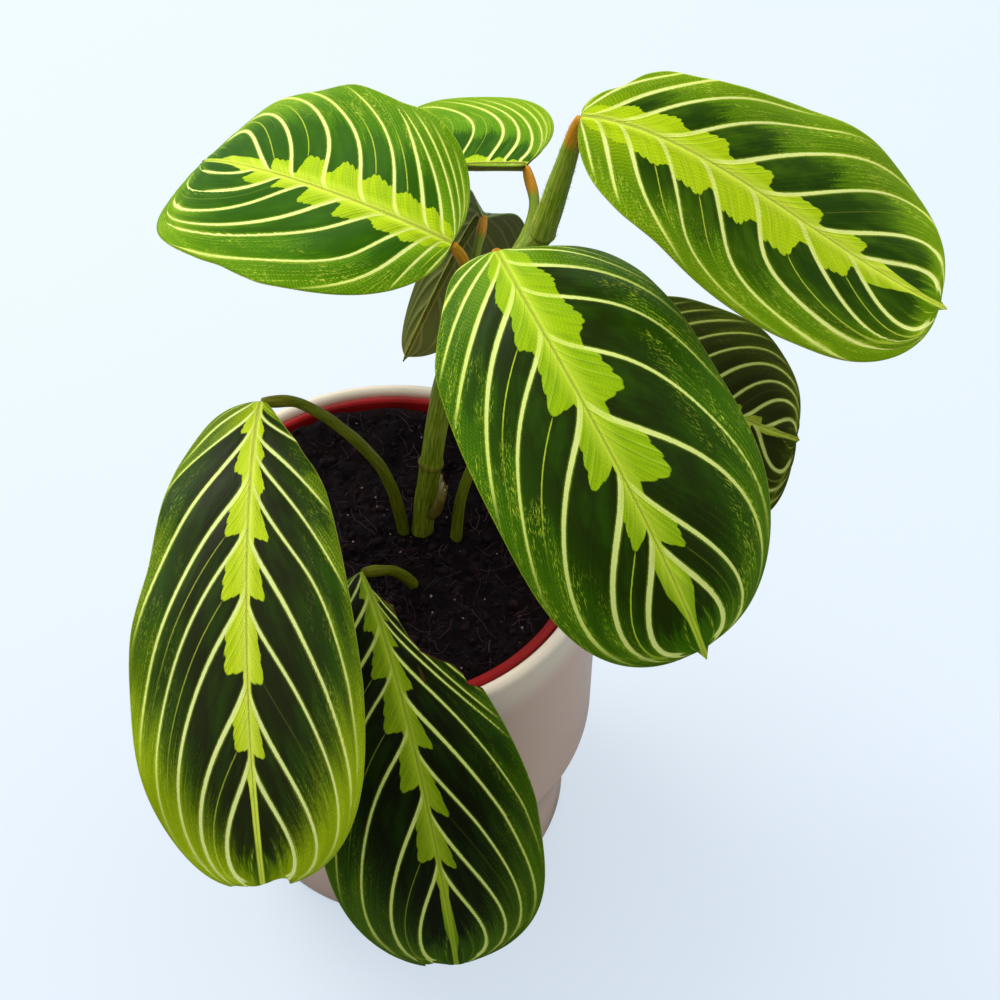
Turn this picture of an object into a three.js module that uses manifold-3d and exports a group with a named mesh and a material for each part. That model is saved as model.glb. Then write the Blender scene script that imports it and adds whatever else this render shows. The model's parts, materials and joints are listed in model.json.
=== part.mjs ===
// A prayer plant in its nursery pot, standing in a glazed ceramic cachepot.
// Millimetres, +Z up. The origin is the middle of the cachepot's flat underside, and the
// plant is seen from the -Y side, with +X to the right.

import * as THREE from 'three';
import { ParametricGeometry } from 'three/addons/geometries/ParametricGeometry.js';
import { mergeGeometries, mergeVertices } from 'three/addons/utils/BufferGeometryUtils.js';
import Module from 'manifold-3d';

const wasm = await Module();
wasm.setup();

// Driving sizes
const CLEARANCE = 0.3;

const CACHEPOT_HEIGHT = 125;
const CACHEPOT_RADIUS = 59.5;
const CACHEPOT_WALL = 4;
const CACHEPOT_FLOOR = 6;
const FOOT_HEIGHT = 37;
const FOOT_RADIUS = 52;
const BELLY_HEIGHT = 52;

const NURSERY_TOP = 124;
const NURSERY_RADIUS = 54.9;
const NURSERY_BASE_RADIUS = 42;
const NURSERY_WALL = 1.3;
const NURSERY_LIP = 2.6;
const NURSERY_LIP_HEIGHT = 10;
const DRAIN_HOLES = 6;
const DRAIN_RADIUS = 4;
const DRAIN_RING = 28;

const SOIL_TOP = 117;
const ROOT_DEPTH = 24;

const BLADE_THICKNESS = 0.7;
const KEEL_HEIGHT = 0.7;
const BLADE_ROWS = 18;
const BLADE_COLUMNS = 12;
const COLUMN_CROWDING = 1.4;
const STEM_SIDES = 8;
const STEM_STEP = 6;
const POT_SIDES = 44;

// Finishes
const finishes = {
  glaze: new THREE.MeshStandardMaterial({ color: 0xf3e7d2, roughness: 0.18, metalness: 0 }),
  redPlastic: new THREE.MeshStandardMaterial({ color: 0x8e1d1a, roughness: 0.45, metalness: 0 }),
  soil: new THREE.MeshStandardMaterial({ color: 0x1e1418, roughness: 0.95, metalness: 0 }),
  stem: new THREE.MeshStandardMaterial({ color: 0x788f25, roughness: 0.5, metalness: 0 }),
  drySheath: new THREE.MeshStandardMaterial({ color: 0xb3a06a, roughness: 0.8, metalness: 0 }),
  leaf: new THREE.MeshStandardMaterial({ color: 0x4d7a1c, roughness: 0.4, metalness: 0 }),
};

// The leaves. Each midrib is a cubic curve, from the base of the blade to its tip, and each
// half of the blade has its own width and shape, because the halves of such a leaf differ.
// broad: where along the midrib the half is widest, as a share of the length.
// baseFullness and endFullness: how square the half is before and after that point.
// baseTaper: 0.5 is a round base, and more makes it pointed.
// fold: degrees by which the half rises from the midrib. curl: degrees by which it then bends.
// back and ahead: how far the lobes reach past the base and the tip of the midrib.
// wave: height, count and phase of the waves along the margin.
const leaves = {
  top_right: {
    rib: [[49, 4, 265], [74, -1, 267], [106, -8, 235], [133, -14, 225]],
    face: [0.1, -0.3, 0.95],
    tip: 0.05,
    left: {
      width: 32, broad: 0.65, baseFullness: 1.4, endFullness: 3, fold: 0, curl: -10,
      back: 4, ahead: 2, wave: [1.2, 3.2, 0.1],
    },
    right: {
      width: 29, broad: 0.6, baseFullness: 1.7, endFullness: 2.8, fold: 0, curl: -5,
      back: 4, ahead: 2, wave: [0.7, 2.5, 0.6],
    },
  },
  top_left: {
    rib: [[20, 14, 220], [-2, 22, 227], [-33, 44, 222], [-50, 76, 195]],
    face: [-0.1, -0.3, 0.95],
    tip: 0.04,
    left: {
      width: 32, broad: 0.7, baseFullness: 1.7, endFullness: 4, fold: 0, curl: -15,
      back: 5, ahead: -1, wave: [0.8, 2.2, 0.3],
    },
    right: {
      width: 31.5, broad: 0.55, baseFullness: 2.2, endFullness: 5, fold: 5, curl: -10,
      back: 5, ahead: 6, wave: [0.9, 3, 0.5],
    },
  },
  back: {
    rib: [[38, 42, 221], [20, 50, 215], [-5, 70, 197], [-20, 85, 180]],
    face: [0, -0.3, 1],
    tip: 0.05,
    left: {
      width: 22, broad: 0.5, baseFullness: 2, endFullness: 2.4, fold: 50, curl: 0,
      back: 4, ahead: 0, wave: [0, 1, 0],
    },
    right: {
      width: 25.5, broad: 0.5, baseFullness: 2, endFullness: 2.4, fold: 5, curl: -10,
      back: 20, ahead: 0, wave: [0.6, 2, 0],
    },
  },
  centre: {
    rib: [[31, -8, 237], [36, -32, 245], [61, -71, 228], [76, -86, 190]],
    face: [-0.05, -0.45, 0.9],
    tip: 0.05,
    left: {
      width: 35, broad: 0.64, baseFullness: 2.9, endFullness: 2.6, fold: -12, curl: -25,
      back: 15, ahead: 7, wave: [0.8, 3, 0.2],
    },
    right: {
      width: 28.5, broad: 0.65, baseFullness: 2.2, endFullness: 3, fold: 0, curl: -12,
      back: 13, ahead: 7, wave: [0.6, 2, 0],
    },
  },
  right: {
    rib: [[52, 22, 161], [76, 24, 163], [98, 22, 148], [114, 18, 145]],
    face: [0.1, -0.6, 0.8],
    tip: 0.05,
    left: {
      width: 28, broad: 0.45, baseFullness: 2.2, endFullness: 2.2, fold: 0, curl: -10,
      back: 4, ahead: 0, wave: [1, 3, 0.3],
    },
    right: {
      width: 27, broad: 0.7, baseFullness: 2, endFullness: 4, fold: 0, curl: -10,
      back: 4, ahead: 7, wave: [0.8, 3, 0],
    },
  },
  hanging: {
    rib: [[27, 60, 188], [28, 84, 178], [14, 90, 140], [1, 82, 111]],
    face: [0, 1, 0.3],
    tip: 0.05,
    left: {
      width: 10, broad: 0.5, baseFullness: 2, endFullness: 2.4, fold: 60, curl: 0,
      back: 0, ahead: 0, wave: [0, 1, 0],
    },
    right: {
      width: 20, broad: 0.5, baseFullness: 1.3, endFullness: 2.4, baseTaper: 0.8, fold: 0,
      curl: 0, back: 0, ahead: 0, wave: [0.6, 2, 0],
    },
  },
  front_left: {
    rib: [[-31, 9, 170], [-31, -30, 180], [-29, -80, 155], [-25, -106, 120]],
    face: [0, -0.4, 0.9],
    tip: 0.03,
    left: {
      width: 27.5, broad: 0.65, baseFullness: 1.3, endFullness: 3, fold: 0, curl: -15,
      back: 0, ahead: 4, wave: [0.7, 2.5, 0],
    },
    right: {
      width: 29.5, broad: 0.6, baseFullness: 1.6, endFullness: 2.4, fold: 0, curl: -15,
      back: 0, ahead: 3, wave: [1.1, 4, 0.2],
    },
  },
  front: {
    rib: [[-5, -20, 135], [5, -55, 150], [15, -85, 125], [20, -98, 60]],
    face: [0.1, -0.5, 0.8],
    tip: 0.03,
    left: {
      width: 28.5, broad: 0.72, baseFullness: 1.3, endFullness: 4.5, baseTaper: 0.85, fold: 0,
      curl: -15, back: 0, ahead: 4, wave: [0.8, 3, 0.4],
    },
    right: {
      width: 29, broad: 0.65, baseFullness: 1.5, endFullness: 3, fold: 0, curl: -15,
      back: 0, ahead: 3, wave: [0.8, 3, 0],
    },
  },
};

// The stems. A stem's radius goes from root to neck, and a petiole ends in its pulvinus, the
// short swollen joint under the blade. Its path is the centre line, up to that joint.
const shoot = {
  path: [
    [9.5, 9, SOIL_TOP - ROOT_DEPTH], [9.5, 9, SOIL_TOP], [13, 12, 145], [18, 15, 175],
    [28, 15, 203], [36.8, 11, 218], [41.2, 6, 230],
  ],
  root: 3.1,
  neck: 2.9,
  pulvinus: 0,
};

const petioles = {
  top_right: { path: [[41.3, 5.9, 230.4], [44.6, 4.8, 245]], root: 3.3, neck: 1.7, pulvinus: 1.3 },
  top_left: {
    path: [[18, 15, 178], [21.5, 17, 197], [23, 15.5, 211]], root: 1.6, neck: 1.2, pulvinus: 1.2,
  },
  back: { path: [[32, 14, 210], [38, 25, 213], [40, 34, 216]], root: 1.7, neck: 1.1, pulvinus: 1.2 },
  centre: { path: [[29, 14, 205], [30.5, 7, 215], [30.5, -1, 227]], root: 1.6, neck: 1.2, pulvinus: 1.3 },
  right: {
    path: [[19, 6, SOIL_TOP - ROOT_DEPTH], [19, 6, SOIL_TOP], [23, 10, 140], [36, 19, 158]],
    root: 1.9, neck: 1.2, pulvinus: 1.3,
  },
  hanging: { path: [[15, 13.5, 159], [20, 30, 177], [25, 48, 186]], root: 1.5, neck: 1.1, pulvinus: 1.2 },
  front_left: {
    path: [[4, 9, SOIL_TOP - ROOT_DEPTH], [4, 9, SOIL_TOP], [-2, 10, 145], [-21, 12, 166]],
    root: 1.9, neck: 1.4, pulvinus: 1.4,
  },
  front: {
    path: [[9, -11, SOIL_TOP - ROOT_DEPTH], [8, -11, SOIL_TOP - 1], [3, -13, 126]],
    root: 1.9, neck: 1.3, pulvinus: 1.4,
  },
};

// What is left of the sheath of a leaf that has dropped: a dry, pointed scale on the shoot.
const oldSheath = {
  path: [[12.5, 8, 125], [15.5, 4.8, 133], [17, 4.2, 142]],
  root: 1.6,
  neck: 0.6,
  pulvinus: 0,
};

const PULVINUS_LENGTH = 9;

// Closed meshes

// Leaves only the positions, joins the vertices that meet and drops the triangles of no area.
function closed(geometry) {
  const bare = geometry.clone();
  bare.deleteAttribute('normal');
  bare.deleteAttribute('uv');
  const merged = mergeVertices(bare, 1e-4);
  const index = merged.index.array;
  const kept = [];
  for (let i = 0; i < index.length; i += 3) {
    const [a, b, c] = [index[i], index[i + 1], index[i + 2]];
    if (a !== b && b !== c && c !== a) {
      kept.push(a, b, c);
    }
  }
  merged.setIndex(kept);
  return signedVolume(merged) < 0 ? turned(merged) : merged;
}

function turned(geometry) {
  const index = Array.from(geometry.index.array);
  for (let i = 0; i < index.length; i += 3) {
    [index[i], index[i + 1]] = [index[i + 1], index[i]];
  }
  const result = geometry.clone();
  result.setIndex(index);
  return result;
}

function signedVolume(geometry) {
  const position = geometry.attributes.position;
  const corner = (i) => new THREE.Vector3().fromBufferAttribute(position, geometry.index.array[i]);
  let volume = 0;
  for (let i = 0; i < geometry.index.count; i += 3) {
    volume += corner(i).dot(corner(i + 1).cross(corner(i + 2))) / 6;
  }
  return volume;
}

function toSolid(geometry) {
  const shell = closed(geometry);
  return new wasm.Manifold(new wasm.Mesh({
    numProp: 3,
    vertProperties: new Float32Array(shell.attributes.position.array),
    triVerts: new Uint32Array(shell.index.array),
  }));
}

// The largest body of a solid, as a geometry with flat faces.
function toGeometry(solid) {
  const bodies = solid.decompose().sort((a, b) => b.volume() - a.volume());
  const mesh = bodies[0].getMesh();
  const geometry = new THREE.BufferGeometry();
  geometry.setAttribute('position', new THREE.Float32BufferAttribute(mesh.vertProperties, 3));
  geometry.setIndex(Array.from(mesh.triVerts));
  return geometry;
}

// Pots and soil

// Turns a profile of radius and height about the Z axis.
function turnedAboutZ(profile, sides) {
  return closed(new THREE.LatheGeometry(profile, sides).rotateX(Math.PI / 2));
}

function cachepotProfile() {
  const wall = CACHEPOT_RADIUS - 0.1;
  const rimCentre = CACHEPOT_RADIUS - CACHEPOT_WALL / 2;
  const rimHeight = CACHEPOT_HEIGHT - CACHEPOT_WALL / 2;
  const inside = CACHEPOT_RADIUS - CACHEPOT_WALL;
  const profile = new THREE.Path();
  profile.moveTo(0, 0);
  profile.lineTo(FOOT_RADIUS - 1, 0);
  profile.quadraticCurveTo(FOOT_RADIUS, 0, FOOT_RADIUS, 1);
  profile.lineTo(FOOT_RADIUS, FOOT_HEIGHT);
  profile.lineTo(FOOT_RADIUS + 1.1, FOOT_HEIGHT + 0.5);
  profile.bezierCurveTo(FOOT_RADIUS + 3.1, FOOT_HEIGHT + 4, wall, BELLY_HEIGHT - 4, wall, BELLY_HEIGHT);
  profile.lineTo(CACHEPOT_RADIUS, rimHeight);
  profile.absarc(rimCentre, rimHeight, CACHEPOT_WALL / 2, 0, Math.PI, false);
  profile.lineTo(inside, BELLY_HEIGHT + 2);
  profile.bezierCurveTo(inside, 47, FOOT_RADIUS - 3, 43, FOOT_RADIUS - 3.6, 28);
  profile.lineTo(FOOT_RADIUS - 4, 14);
  profile.quadraticCurveTo(FOOT_RADIUS - 4, CACHEPOT_FLOOR, FOOT_RADIUS - 10, CACHEPOT_FLOOR);
  profile.lineTo(0, CACHEPOT_FLOOR);
  return profile.getPoints(4);
}

function nurseryPot() {
  const bottom = CACHEPOT_FLOOR + CLEARANCE;
  const floor = bottom + 2;
  const lipBottom = NURSERY_TOP - NURSERY_LIP_HEIGHT;
  const profile = new THREE.Path();
  profile.moveTo(0, bottom);
  profile.lineTo(NURSERY_BASE_RADIUS - 1, bottom);
  profile.quadraticCurveTo(NURSERY_BASE_RADIUS, bottom, NURSERY_BASE_RADIUS, bottom + 1);
  profile.lineTo(NURSERY_RADIUS - 1.6, lipBottom);
  profile.lineTo(NURSERY_RADIUS - 0.3, lipBottom);
  profile.lineTo(NURSERY_RADIUS, NURSERY_TOP - 0.8);
  profile.quadraticCurveTo(NURSERY_RADIUS, NURSERY_TOP, NURSERY_RADIUS - 0.8, NURSERY_TOP);
  profile.lineTo(NURSERY_RADIUS - NURSERY_LIP + 0.5, NURSERY_TOP);
  profile.lineTo(NURSERY_RADIUS - NURSERY_LIP, NURSERY_TOP - 0.5);
  profile.lineTo(NURSERY_RADIUS - 1.6 - NURSERY_WALL, lipBottom - 1);
  profile.lineTo(NURSERY_BASE_RADIUS - NURSERY_WALL, floor);
  profile.lineTo(0, floor);
  let pot = toSolid(turnedAboutZ(profile.getPoints(3), POT_SIDES));
  for (let i = 0; i < DRAIN_HOLES; i += 1) {
    const angle = (2 * Math.PI * i) / DRAIN_HOLES;
    const hole = new THREE.CylinderGeometry(DRAIN_RADIUS, DRAIN_RADIUS, 12, 12).rotateX(Math.PI / 2);
    hole.translate(DRAIN_RING * Math.cos(angle), DRAIN_RING * Math.sin(angle), floor);
    pot = pot.subtract(toSolid(hole));
  }
  return toGeometry(pot);
}

function soilWithHoles(buried) {
  const floor = CACHEPOT_FLOOR + 2 + 2 * CLEARANCE;
  const lowRadius = NURSERY_BASE_RADIUS - NURSERY_WALL - CLEARANCE;
  const topRadius = NURSERY_RADIUS - NURSERY_LIP - 2 * CLEARANCE;
  const lipFoot = NURSERY_TOP - NURSERY_LIP_HEIGHT - 1;
  const wallRadius = NURSERY_RADIUS - 1.6 - NURSERY_WALL - CLEARANCE;
  const rings = [45, 36, 27, 18, 9, 0];
  const profile = [
    new THREE.Vector2(0, floor),
    new THREE.Vector2(lowRadius, floor),
    new THREE.Vector2(wallRadius, lipFoot),
    new THREE.Vector2(topRadius - 0.6, SOIL_TOP - 1),
    ...rings.map((radius) => new THREE.Vector2(radius, SOIL_TOP)),
  ];
  const geometry = turnedAboutZ(profile, POT_SIDES);
  const position = geometry.attributes.position;
  for (let i = 0; i < position.count; i += 1) {
    if (position.getZ(i) > SOIL_TOP - 0.5) {
      const [x, y] = [position.getX(i), position.getY(i)];
      const heap = 0.7 * Math.sin(0.31 * x + 1) * Math.cos(0.27 * y) + 0.4 * Math.sin(0.2 * x - 0.43 * y);
      position.setZ(i, SOIL_TOP + heap);
    }
  }
  return toGeometry(buried.reduce((soil, stem) => soil.subtract(stem), toSolid(geometry)));
}

// Stems

// A round stem along a smooth path, as a turned rod that is bent along the path. grow adds to
// the radius and to both ends, which gives the space that the stem needs.
function stemGeometry(stem, grow = 0) {
  const points = stem.path.map((point) => new THREE.Vector3(...point));
  const curve = new THREE.CatmullRomCurve3(points, false, 'centripetal');
  const length = curve.getLength();
  const steps = Math.max(6, Math.round(length / STEM_STEP));
  const frames = curve.computeFrenetFrames(steps, false);
  const profile = [new THREE.Vector2(0, 0)];
  for (let i = 0; i <= steps; i += 1) {
    profile.push(new THREE.Vector2(stemRadius(stem, i / steps, length) + grow, i));
  }
  profile.push(new THREE.Vector2(0, steps));
  const rod = new THREE.LatheGeometry(profile, STEM_SIDES);
  const position = rod.attributes.position;
  for (let i = 0; i < position.count; i += 1) {
    const step = Math.round(position.getY(i));
    const centre = curve.getPointAt(step / steps);
    if (step === 0 || step === steps) {
      centre.addScaledVector(frames.tangents[step], step === 0 ? -grow : grow);
    }
    centre.addScaledVector(frames.normals[step], position.getX(i));
    centre.addScaledVector(frames.binormals[step], position.getZ(i));
    position.setXYZ(i, centre.x, centre.y, centre.z);
  }
  return closed(rod);
}

function stemRadius(stem, along, length) {
  const radius = THREE.MathUtils.lerp(stem.root, stem.neck, along);
  if (!stem.pulvinus) {
    return radius;
  }
  const joint = THREE.MathUtils.clamp(1 - ((1 - along) * length) / PULVINUS_LENGTH, 0, 1);
  const swelling = 0.25 * Math.sin(Math.PI * joint);
  return THREE.MathUtils.lerp(radius, stem.pulvinus, joint) + swelling - 0.35 * joint ** 6;
}

// Blades

function unit(vector) {
  return new THREE.Vector3(...vector).normalize();
}

// How wide a half is at t, as a share of its greatest width. The end has a small drip tip.
function halfWidth(half, tip, t) {
  const body = THREE.MathUtils.clamp(t / (1 - 0.45 * tip), 0, 1);
  const beforeBroad = body < half.broad;
  const away = beforeBroad ? (half.broad - body) / half.broad : (body - half.broad) / (1 - half.broad);
  const fullness = beforeBroad ? half.baseFullness : half.endFullness;
  const taper = beforeBroad ? half.baseTaper ?? 0.5 : 0.5;
  const share = Math.max(0, 1 - away ** fullness) ** taper;
  const spike = t > 0.5 ? 0.1 * Math.min(1, (1 - t) / tip) : 0;
  return Math.max(share, spike);
}

// A point of a blade's middle surface and the direction that is square to it there. s goes
// from -1 at the left margin to 1 at the right one, and t from 0 at the base to 1 at the tip.
function bladePoint(leaf, curve, s, t) {
  const half = s > 0 ? leaf.right : leaf.left;
  const side = s > 0 ? 1 : -1;
  const a = Math.abs(s);
  const along = curve.getTangent(t);
  const face = unit(leaf.face);
  const up = face.addScaledVector(along, -face.dot(along)).normalize();
  const across = along.clone().cross(up);
  const fold = THREE.MathUtils.degToRad(half.fold);
  const curl = THREE.MathUtils.degToRad(half.curl) || 1e-6;
  const share = halfWidth(half, leaf.tip, t);
  const reach = (half.width * share * (Math.sin(fold + curl * a) - Math.sin(fold))) / curl;
  const rise = (half.width * share * (Math.cos(fold) - Math.cos(fold + curl * a))) / curl;
  const sweep = (half.ahead * t ** 6 - half.back * (1 - t) ** 4) * share * a;
  const [height, count, phase] = half.wave;
  const wave = height * a * a * Math.sin(2 * Math.PI * (count * t + phase)) * Math.min(1, 2 * share);
  const point = curve.getPoint(t);
  point.addScaledVector(across, side * reach);
  point.addScaledVector(up, rise + wave);
  point.addScaledVector(along, sweep);
  const folds = a * share < 1e-6 ? foldAtRib(leaf) : side * (fold + curl * a);
  const normal = up.multiplyScalar(Math.cos(folds)).addScaledVector(across, -Math.sin(folds));
  return { point, normal, share };
}

// The two halves share the midrib, so the direction there lies midway between theirs.
function foldAtRib(leaf) {
  return THREE.MathUtils.degToRad((leaf.right.fold - leaf.left.fold) / 2);
}

// A blade has two faces of one grid, split alike, and a rim that joins them at each margin.
// Its lower face has a keel, which is the midrib.
function bladeGeometry(leaf, grow = 0) {
  const curve = new THREE.CubicBezierCurve3(...leaf.rib.map((point) => new THREE.Vector3(...point)));
  const place = (u, v, level, target) => {
    const s = 2 * u - 1;
    const t = 0.25 * v + 0.75 * (0.5 - 0.5 * Math.cos(Math.PI * v));
    const spread = Math.sign(s) * Math.abs(s) ** COLUMN_CROWDING;
    const { point, normal, share } = bladePoint(leaf, curve, spread, t);
    const keel = level < 0.5 && s === 0 ? KEEL_HEIGHT * (1 - 0.7 * t) * Math.min(1, 4 * share) : 0;
    const offset = (level - 0.5) * (BLADE_THICKNESS + 2 * grow) - keel;
    target.copy(point.addScaledVector(normal, offset));
  };
  const sheet = (level) => new ParametricGeometry(
    (u, v, target) => place(u, v, level, target), BLADE_COLUMNS, BLADE_ROWS,
  );
  const rim = (u) => new ParametricGeometry(
    (level, v, target) => place(u, v, level, target), 1, BLADE_ROWS,
  );
  return closed(mergeGeometries([sheet(1), turned(sheet(0)), turned(rim(1)), rim(0)]));
}

// The plant grows from the soil: each petiole meets the shoot and its blade with a fine gap.

function grownPetiole(name) {
  const [start] = leaves[name].rib;
  const end = new THREE.Vector3(...start).addScaledVector(ribDirection(leaves[name]), -0.5);
  const petiole = petioles[name];
  return { ...petiole, path: [...petiole.path, end.toArray()] };
}

function ribDirection(leaf) {
  const [start, next] = leaf.rib.map((point) => new THREE.Vector3(...point));
  return next.sub(start).normalize();
}

// The space that a blade needs: thicker on both faces, and longer behind its base.
function bladeSpace(leaf) {
  const thick = toSolid(bladeGeometry(leaf, CLEARANCE));
  const backwards = ribDirection(leaf).multiplyScalar(-2 * CLEARANCE);
  return thick.add(thick.translate(backwards.toArray()));
}

function grows(stem, ...neighbours) {
  return toGeometry(neighbours.reduce((body, other) => body.subtract(other), toSolid(stemGeometry(stem))));
}

const group = new THREE.Group();

function add(name, geometry, material) {
  const mesh = new THREE.Mesh(geometry, material);
  mesh.name = name;
  group.add(mesh);
}

const shootSpace = toSolid(stemGeometry(shoot, CLEARANCE));
const buried = [shootSpace];

for (const name of Object.keys(leaves)) {
  const petiole = grownPetiole(name);
  add(`blade_${name}`, bladeGeometry(leaves[name]), finishes.leaf);
  add(`petiole_${name}`, grows(petiole, shootSpace, bladeSpace(leaves[name])), finishes.stem);
  if (petiole.path[0][2] < SOIL_TOP) {
    buried.push(toSolid(stemGeometry(petiole, CLEARANCE)));
  }
}

add('main_shoot', stemGeometry(shoot), finishes.stem);
add('old_sheath', grows(oldSheath, shootSpace), finishes.drySheath);
add('soil', soilWithHoles(buried), finishes.soil);
add('nursery_pot', nurseryPot(), finishes.redPlastic);
add('cachepot', turnedAboutZ(cachepotProfile(), POT_SIDES), finishes.glaze);

export default group;
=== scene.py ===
# %% [markdown]
# # A prayer plant in its pot
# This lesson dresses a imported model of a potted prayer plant. The plant has eight leaves, each
# on a stalk with a short orange joint, and one main shoot. It stands in a red nursery pot,
# inside a glazed cachepot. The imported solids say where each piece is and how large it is, and
# Blender gives each one its fine form, its markings and its finish.

# %% Load the frame
import json
import math
import random
from collections import namedtuple
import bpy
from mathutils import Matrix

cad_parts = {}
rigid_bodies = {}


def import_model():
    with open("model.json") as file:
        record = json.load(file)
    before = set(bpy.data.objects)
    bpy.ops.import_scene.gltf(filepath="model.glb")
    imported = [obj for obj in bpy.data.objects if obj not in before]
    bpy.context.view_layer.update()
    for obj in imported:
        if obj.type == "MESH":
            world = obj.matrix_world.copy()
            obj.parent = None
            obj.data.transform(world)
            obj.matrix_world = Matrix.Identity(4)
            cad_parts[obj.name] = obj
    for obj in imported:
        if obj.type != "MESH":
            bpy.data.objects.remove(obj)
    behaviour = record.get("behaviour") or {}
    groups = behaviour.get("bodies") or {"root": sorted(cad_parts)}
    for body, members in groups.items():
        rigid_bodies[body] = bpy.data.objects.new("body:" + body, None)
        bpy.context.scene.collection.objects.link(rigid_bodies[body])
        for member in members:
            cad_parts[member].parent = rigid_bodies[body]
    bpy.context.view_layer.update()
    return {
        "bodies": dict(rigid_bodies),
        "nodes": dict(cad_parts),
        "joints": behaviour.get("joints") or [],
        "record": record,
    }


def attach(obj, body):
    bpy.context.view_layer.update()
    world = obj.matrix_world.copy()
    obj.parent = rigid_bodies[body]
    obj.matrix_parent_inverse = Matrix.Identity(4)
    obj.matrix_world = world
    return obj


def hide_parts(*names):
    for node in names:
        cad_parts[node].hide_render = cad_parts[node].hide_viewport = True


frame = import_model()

from types import SimpleNamespace

import bmesh
import bpy
import numpy as np
from mathutils import Matrix, Vector, noise
from mathutils.geometry import interpolate_bezier

print("nodes in the frame:", len(frame["nodes"]))

# %% [markdown]
# The model is in metres, and a plant is easier to think of in millimetres, so one factor turns
# one into the other. Colours are written as they look on a screen, from 0 to 255, and the
# renderer needs them as amounts of light, so a short function turns them over.

# %% Units and colours
MM = 0.001


def tint(red, green, blue):
    """A screen colour as amounts of light."""
    def light(channel):
        share = channel / 255
        return share / 12.92 if share <= 0.04045 else ((share + 0.055) / 1.055) ** 2.4
    return light(red), light(green), light(blue), 1.0


print("a middle grey as light:", tint(128, 128, 128)[0])

# %% [markdown]
# The camera looks down on the plant from the front, at 50 degrees, from about 60 centimetres.
# So near, the upper leaves look larger than the pot below them, and a lens of 61 millimetres
# keeps that proportion. Place and lens could be found by eye, but it is safer to fit them to
# the round rim of the pot, whose ellipse gives the pitch.

# %% The camera
CAMERA_PLACE = (0.0315, -0.2955, 0.493)
CAMERA_PITCH = math.radians(50)


def put(name, data):
    """A new object in the scene for a camera, a light or a mesh."""
    made = bpy.data.objects.new(name, data)
    bpy.context.scene.collection.objects.link(made)
    return made


camera_data = bpy.data.cameras.new("view")
camera_data.lens = 61.2
camera_data.sensor_width = 36
camera = put("view", camera_data)
camera.location = CAMERA_PLACE
camera.rotation_euler = (math.pi / 2 - CAMERA_PITCH, 0, 0)
bpy.context.scene.camera = camera
print("camera height in metres:", CAMERA_PLACE[2])

# %% [markdown]
# Every finish here is a graph of nodes. Wiring nodes by hand takes many lines, so a small class
# does it: each method adds a node, sets it, joins it to what it is given, and hands back the
# socket with the result. An effect that several finishes share becomes a node group.

# %% A bench for wiring nodes
class Bench:
    """Adds nodes to one tree and wires them."""

    def __init__(self, tree):
        self.tree = tree

    def node(self, kind, given=None, **settings):
        made = self.tree.nodes.new("ShaderNode" + kind)
        for name, value in settings.items():
            setattr(made, name, value)
        for key, value in (given or {}).items():
            self.join(value, made.inputs[key])
        return made

    def join(self, value, socket):
        if isinstance(value, bpy.types.NodeSocket):
            self.tree.links.new(value, socket)
        else:
            socket.default_value = value

    def math(self, operation, *values):
        return self.node("Math", dict(enumerate(values)), operation=operation).outputs[0]

    def plus(self, a, b):
        return self.math("ADD", a, b)

    def minus(self, a, b):
        return self.math("SUBTRACT", a, b)

    def times(self, a, b):
        return self.math("MULTIPLY", a, b)

    def rise(self, value, low, high, start=0.0, end=1.0):
        """Goes smoothly from start to end while value goes from low to high."""
        given = {0: value, 1: low, 2: high, 3: start, 4: end}
        return self.node("MapRange", given, interpolation_type="SMOOTHSTEP").outputs[0]

    def ramp(self, value, low, high, start=0.0, end=1.0):
        """Goes evenly from start to end while value goes from low to high."""
        return self.node("MapRange", {0: value, 1: low, 2: high, 3: start, 4: end}).outputs[0]

    def mix(self, share, low, high):
        """Blends two colours. The node's sockets 6, 7 and 2 are the ones for colours."""
        given = {"Factor": share, 6: low, 7: high}
        return self.node("Mix", given, data_type="RGBA").outputs[2]

    def stain(self, shade, mask, strength, colour):
        """Lays a colour over a shade where the mask is, at the given strength."""
        return self.mix(self.times(mask, strength), shade, colour)

    def vector(self, x, y, z=0.0):
        return self.node("CombineXYZ", {0: x, 1: y, 2: z}).outputs[0]

    def parts(self, vector):
        return self.node("SeparateXYZ", {0: vector}).outputs

    def noise(self, vector, scale, detail=2.0, rough=0.5):
        given = {"Vector": vector, "Scale": scale, "Detail": detail, "Roughness": rough}
        return self.node("TexNoise", given).outputs[0]

    def cells(self, vector, scale):
        """How far the nearest of many scattered points is."""
        return self.node("TexVoronoi", {"Vector": vector, "Scale": scale}).outputs["Distance"]

    def chance(self, value):
        """A random number for each whole value."""
        return self.node("TexWhiteNoise", {"W": value}, noise_dimensions="1D").outputs[0]

    def attribute(self, name):
        """A vector that the mesh stores for each vertex."""
        return self.node("Attribute", attribute_name=name).outputs["Vector"]

    def place(self):
        """Where a point is on the object, in metres."""
        return self.node("TexCoord").outputs["Object"]

    def bump(self, height, distance, strength=1.0, under=None):
        given = {"Height": height, "Distance": distance, "Strength": strength}
        if under is not None:
            given["Normal"] = under
        return self.node("Bump", given).outputs[0]


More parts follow.
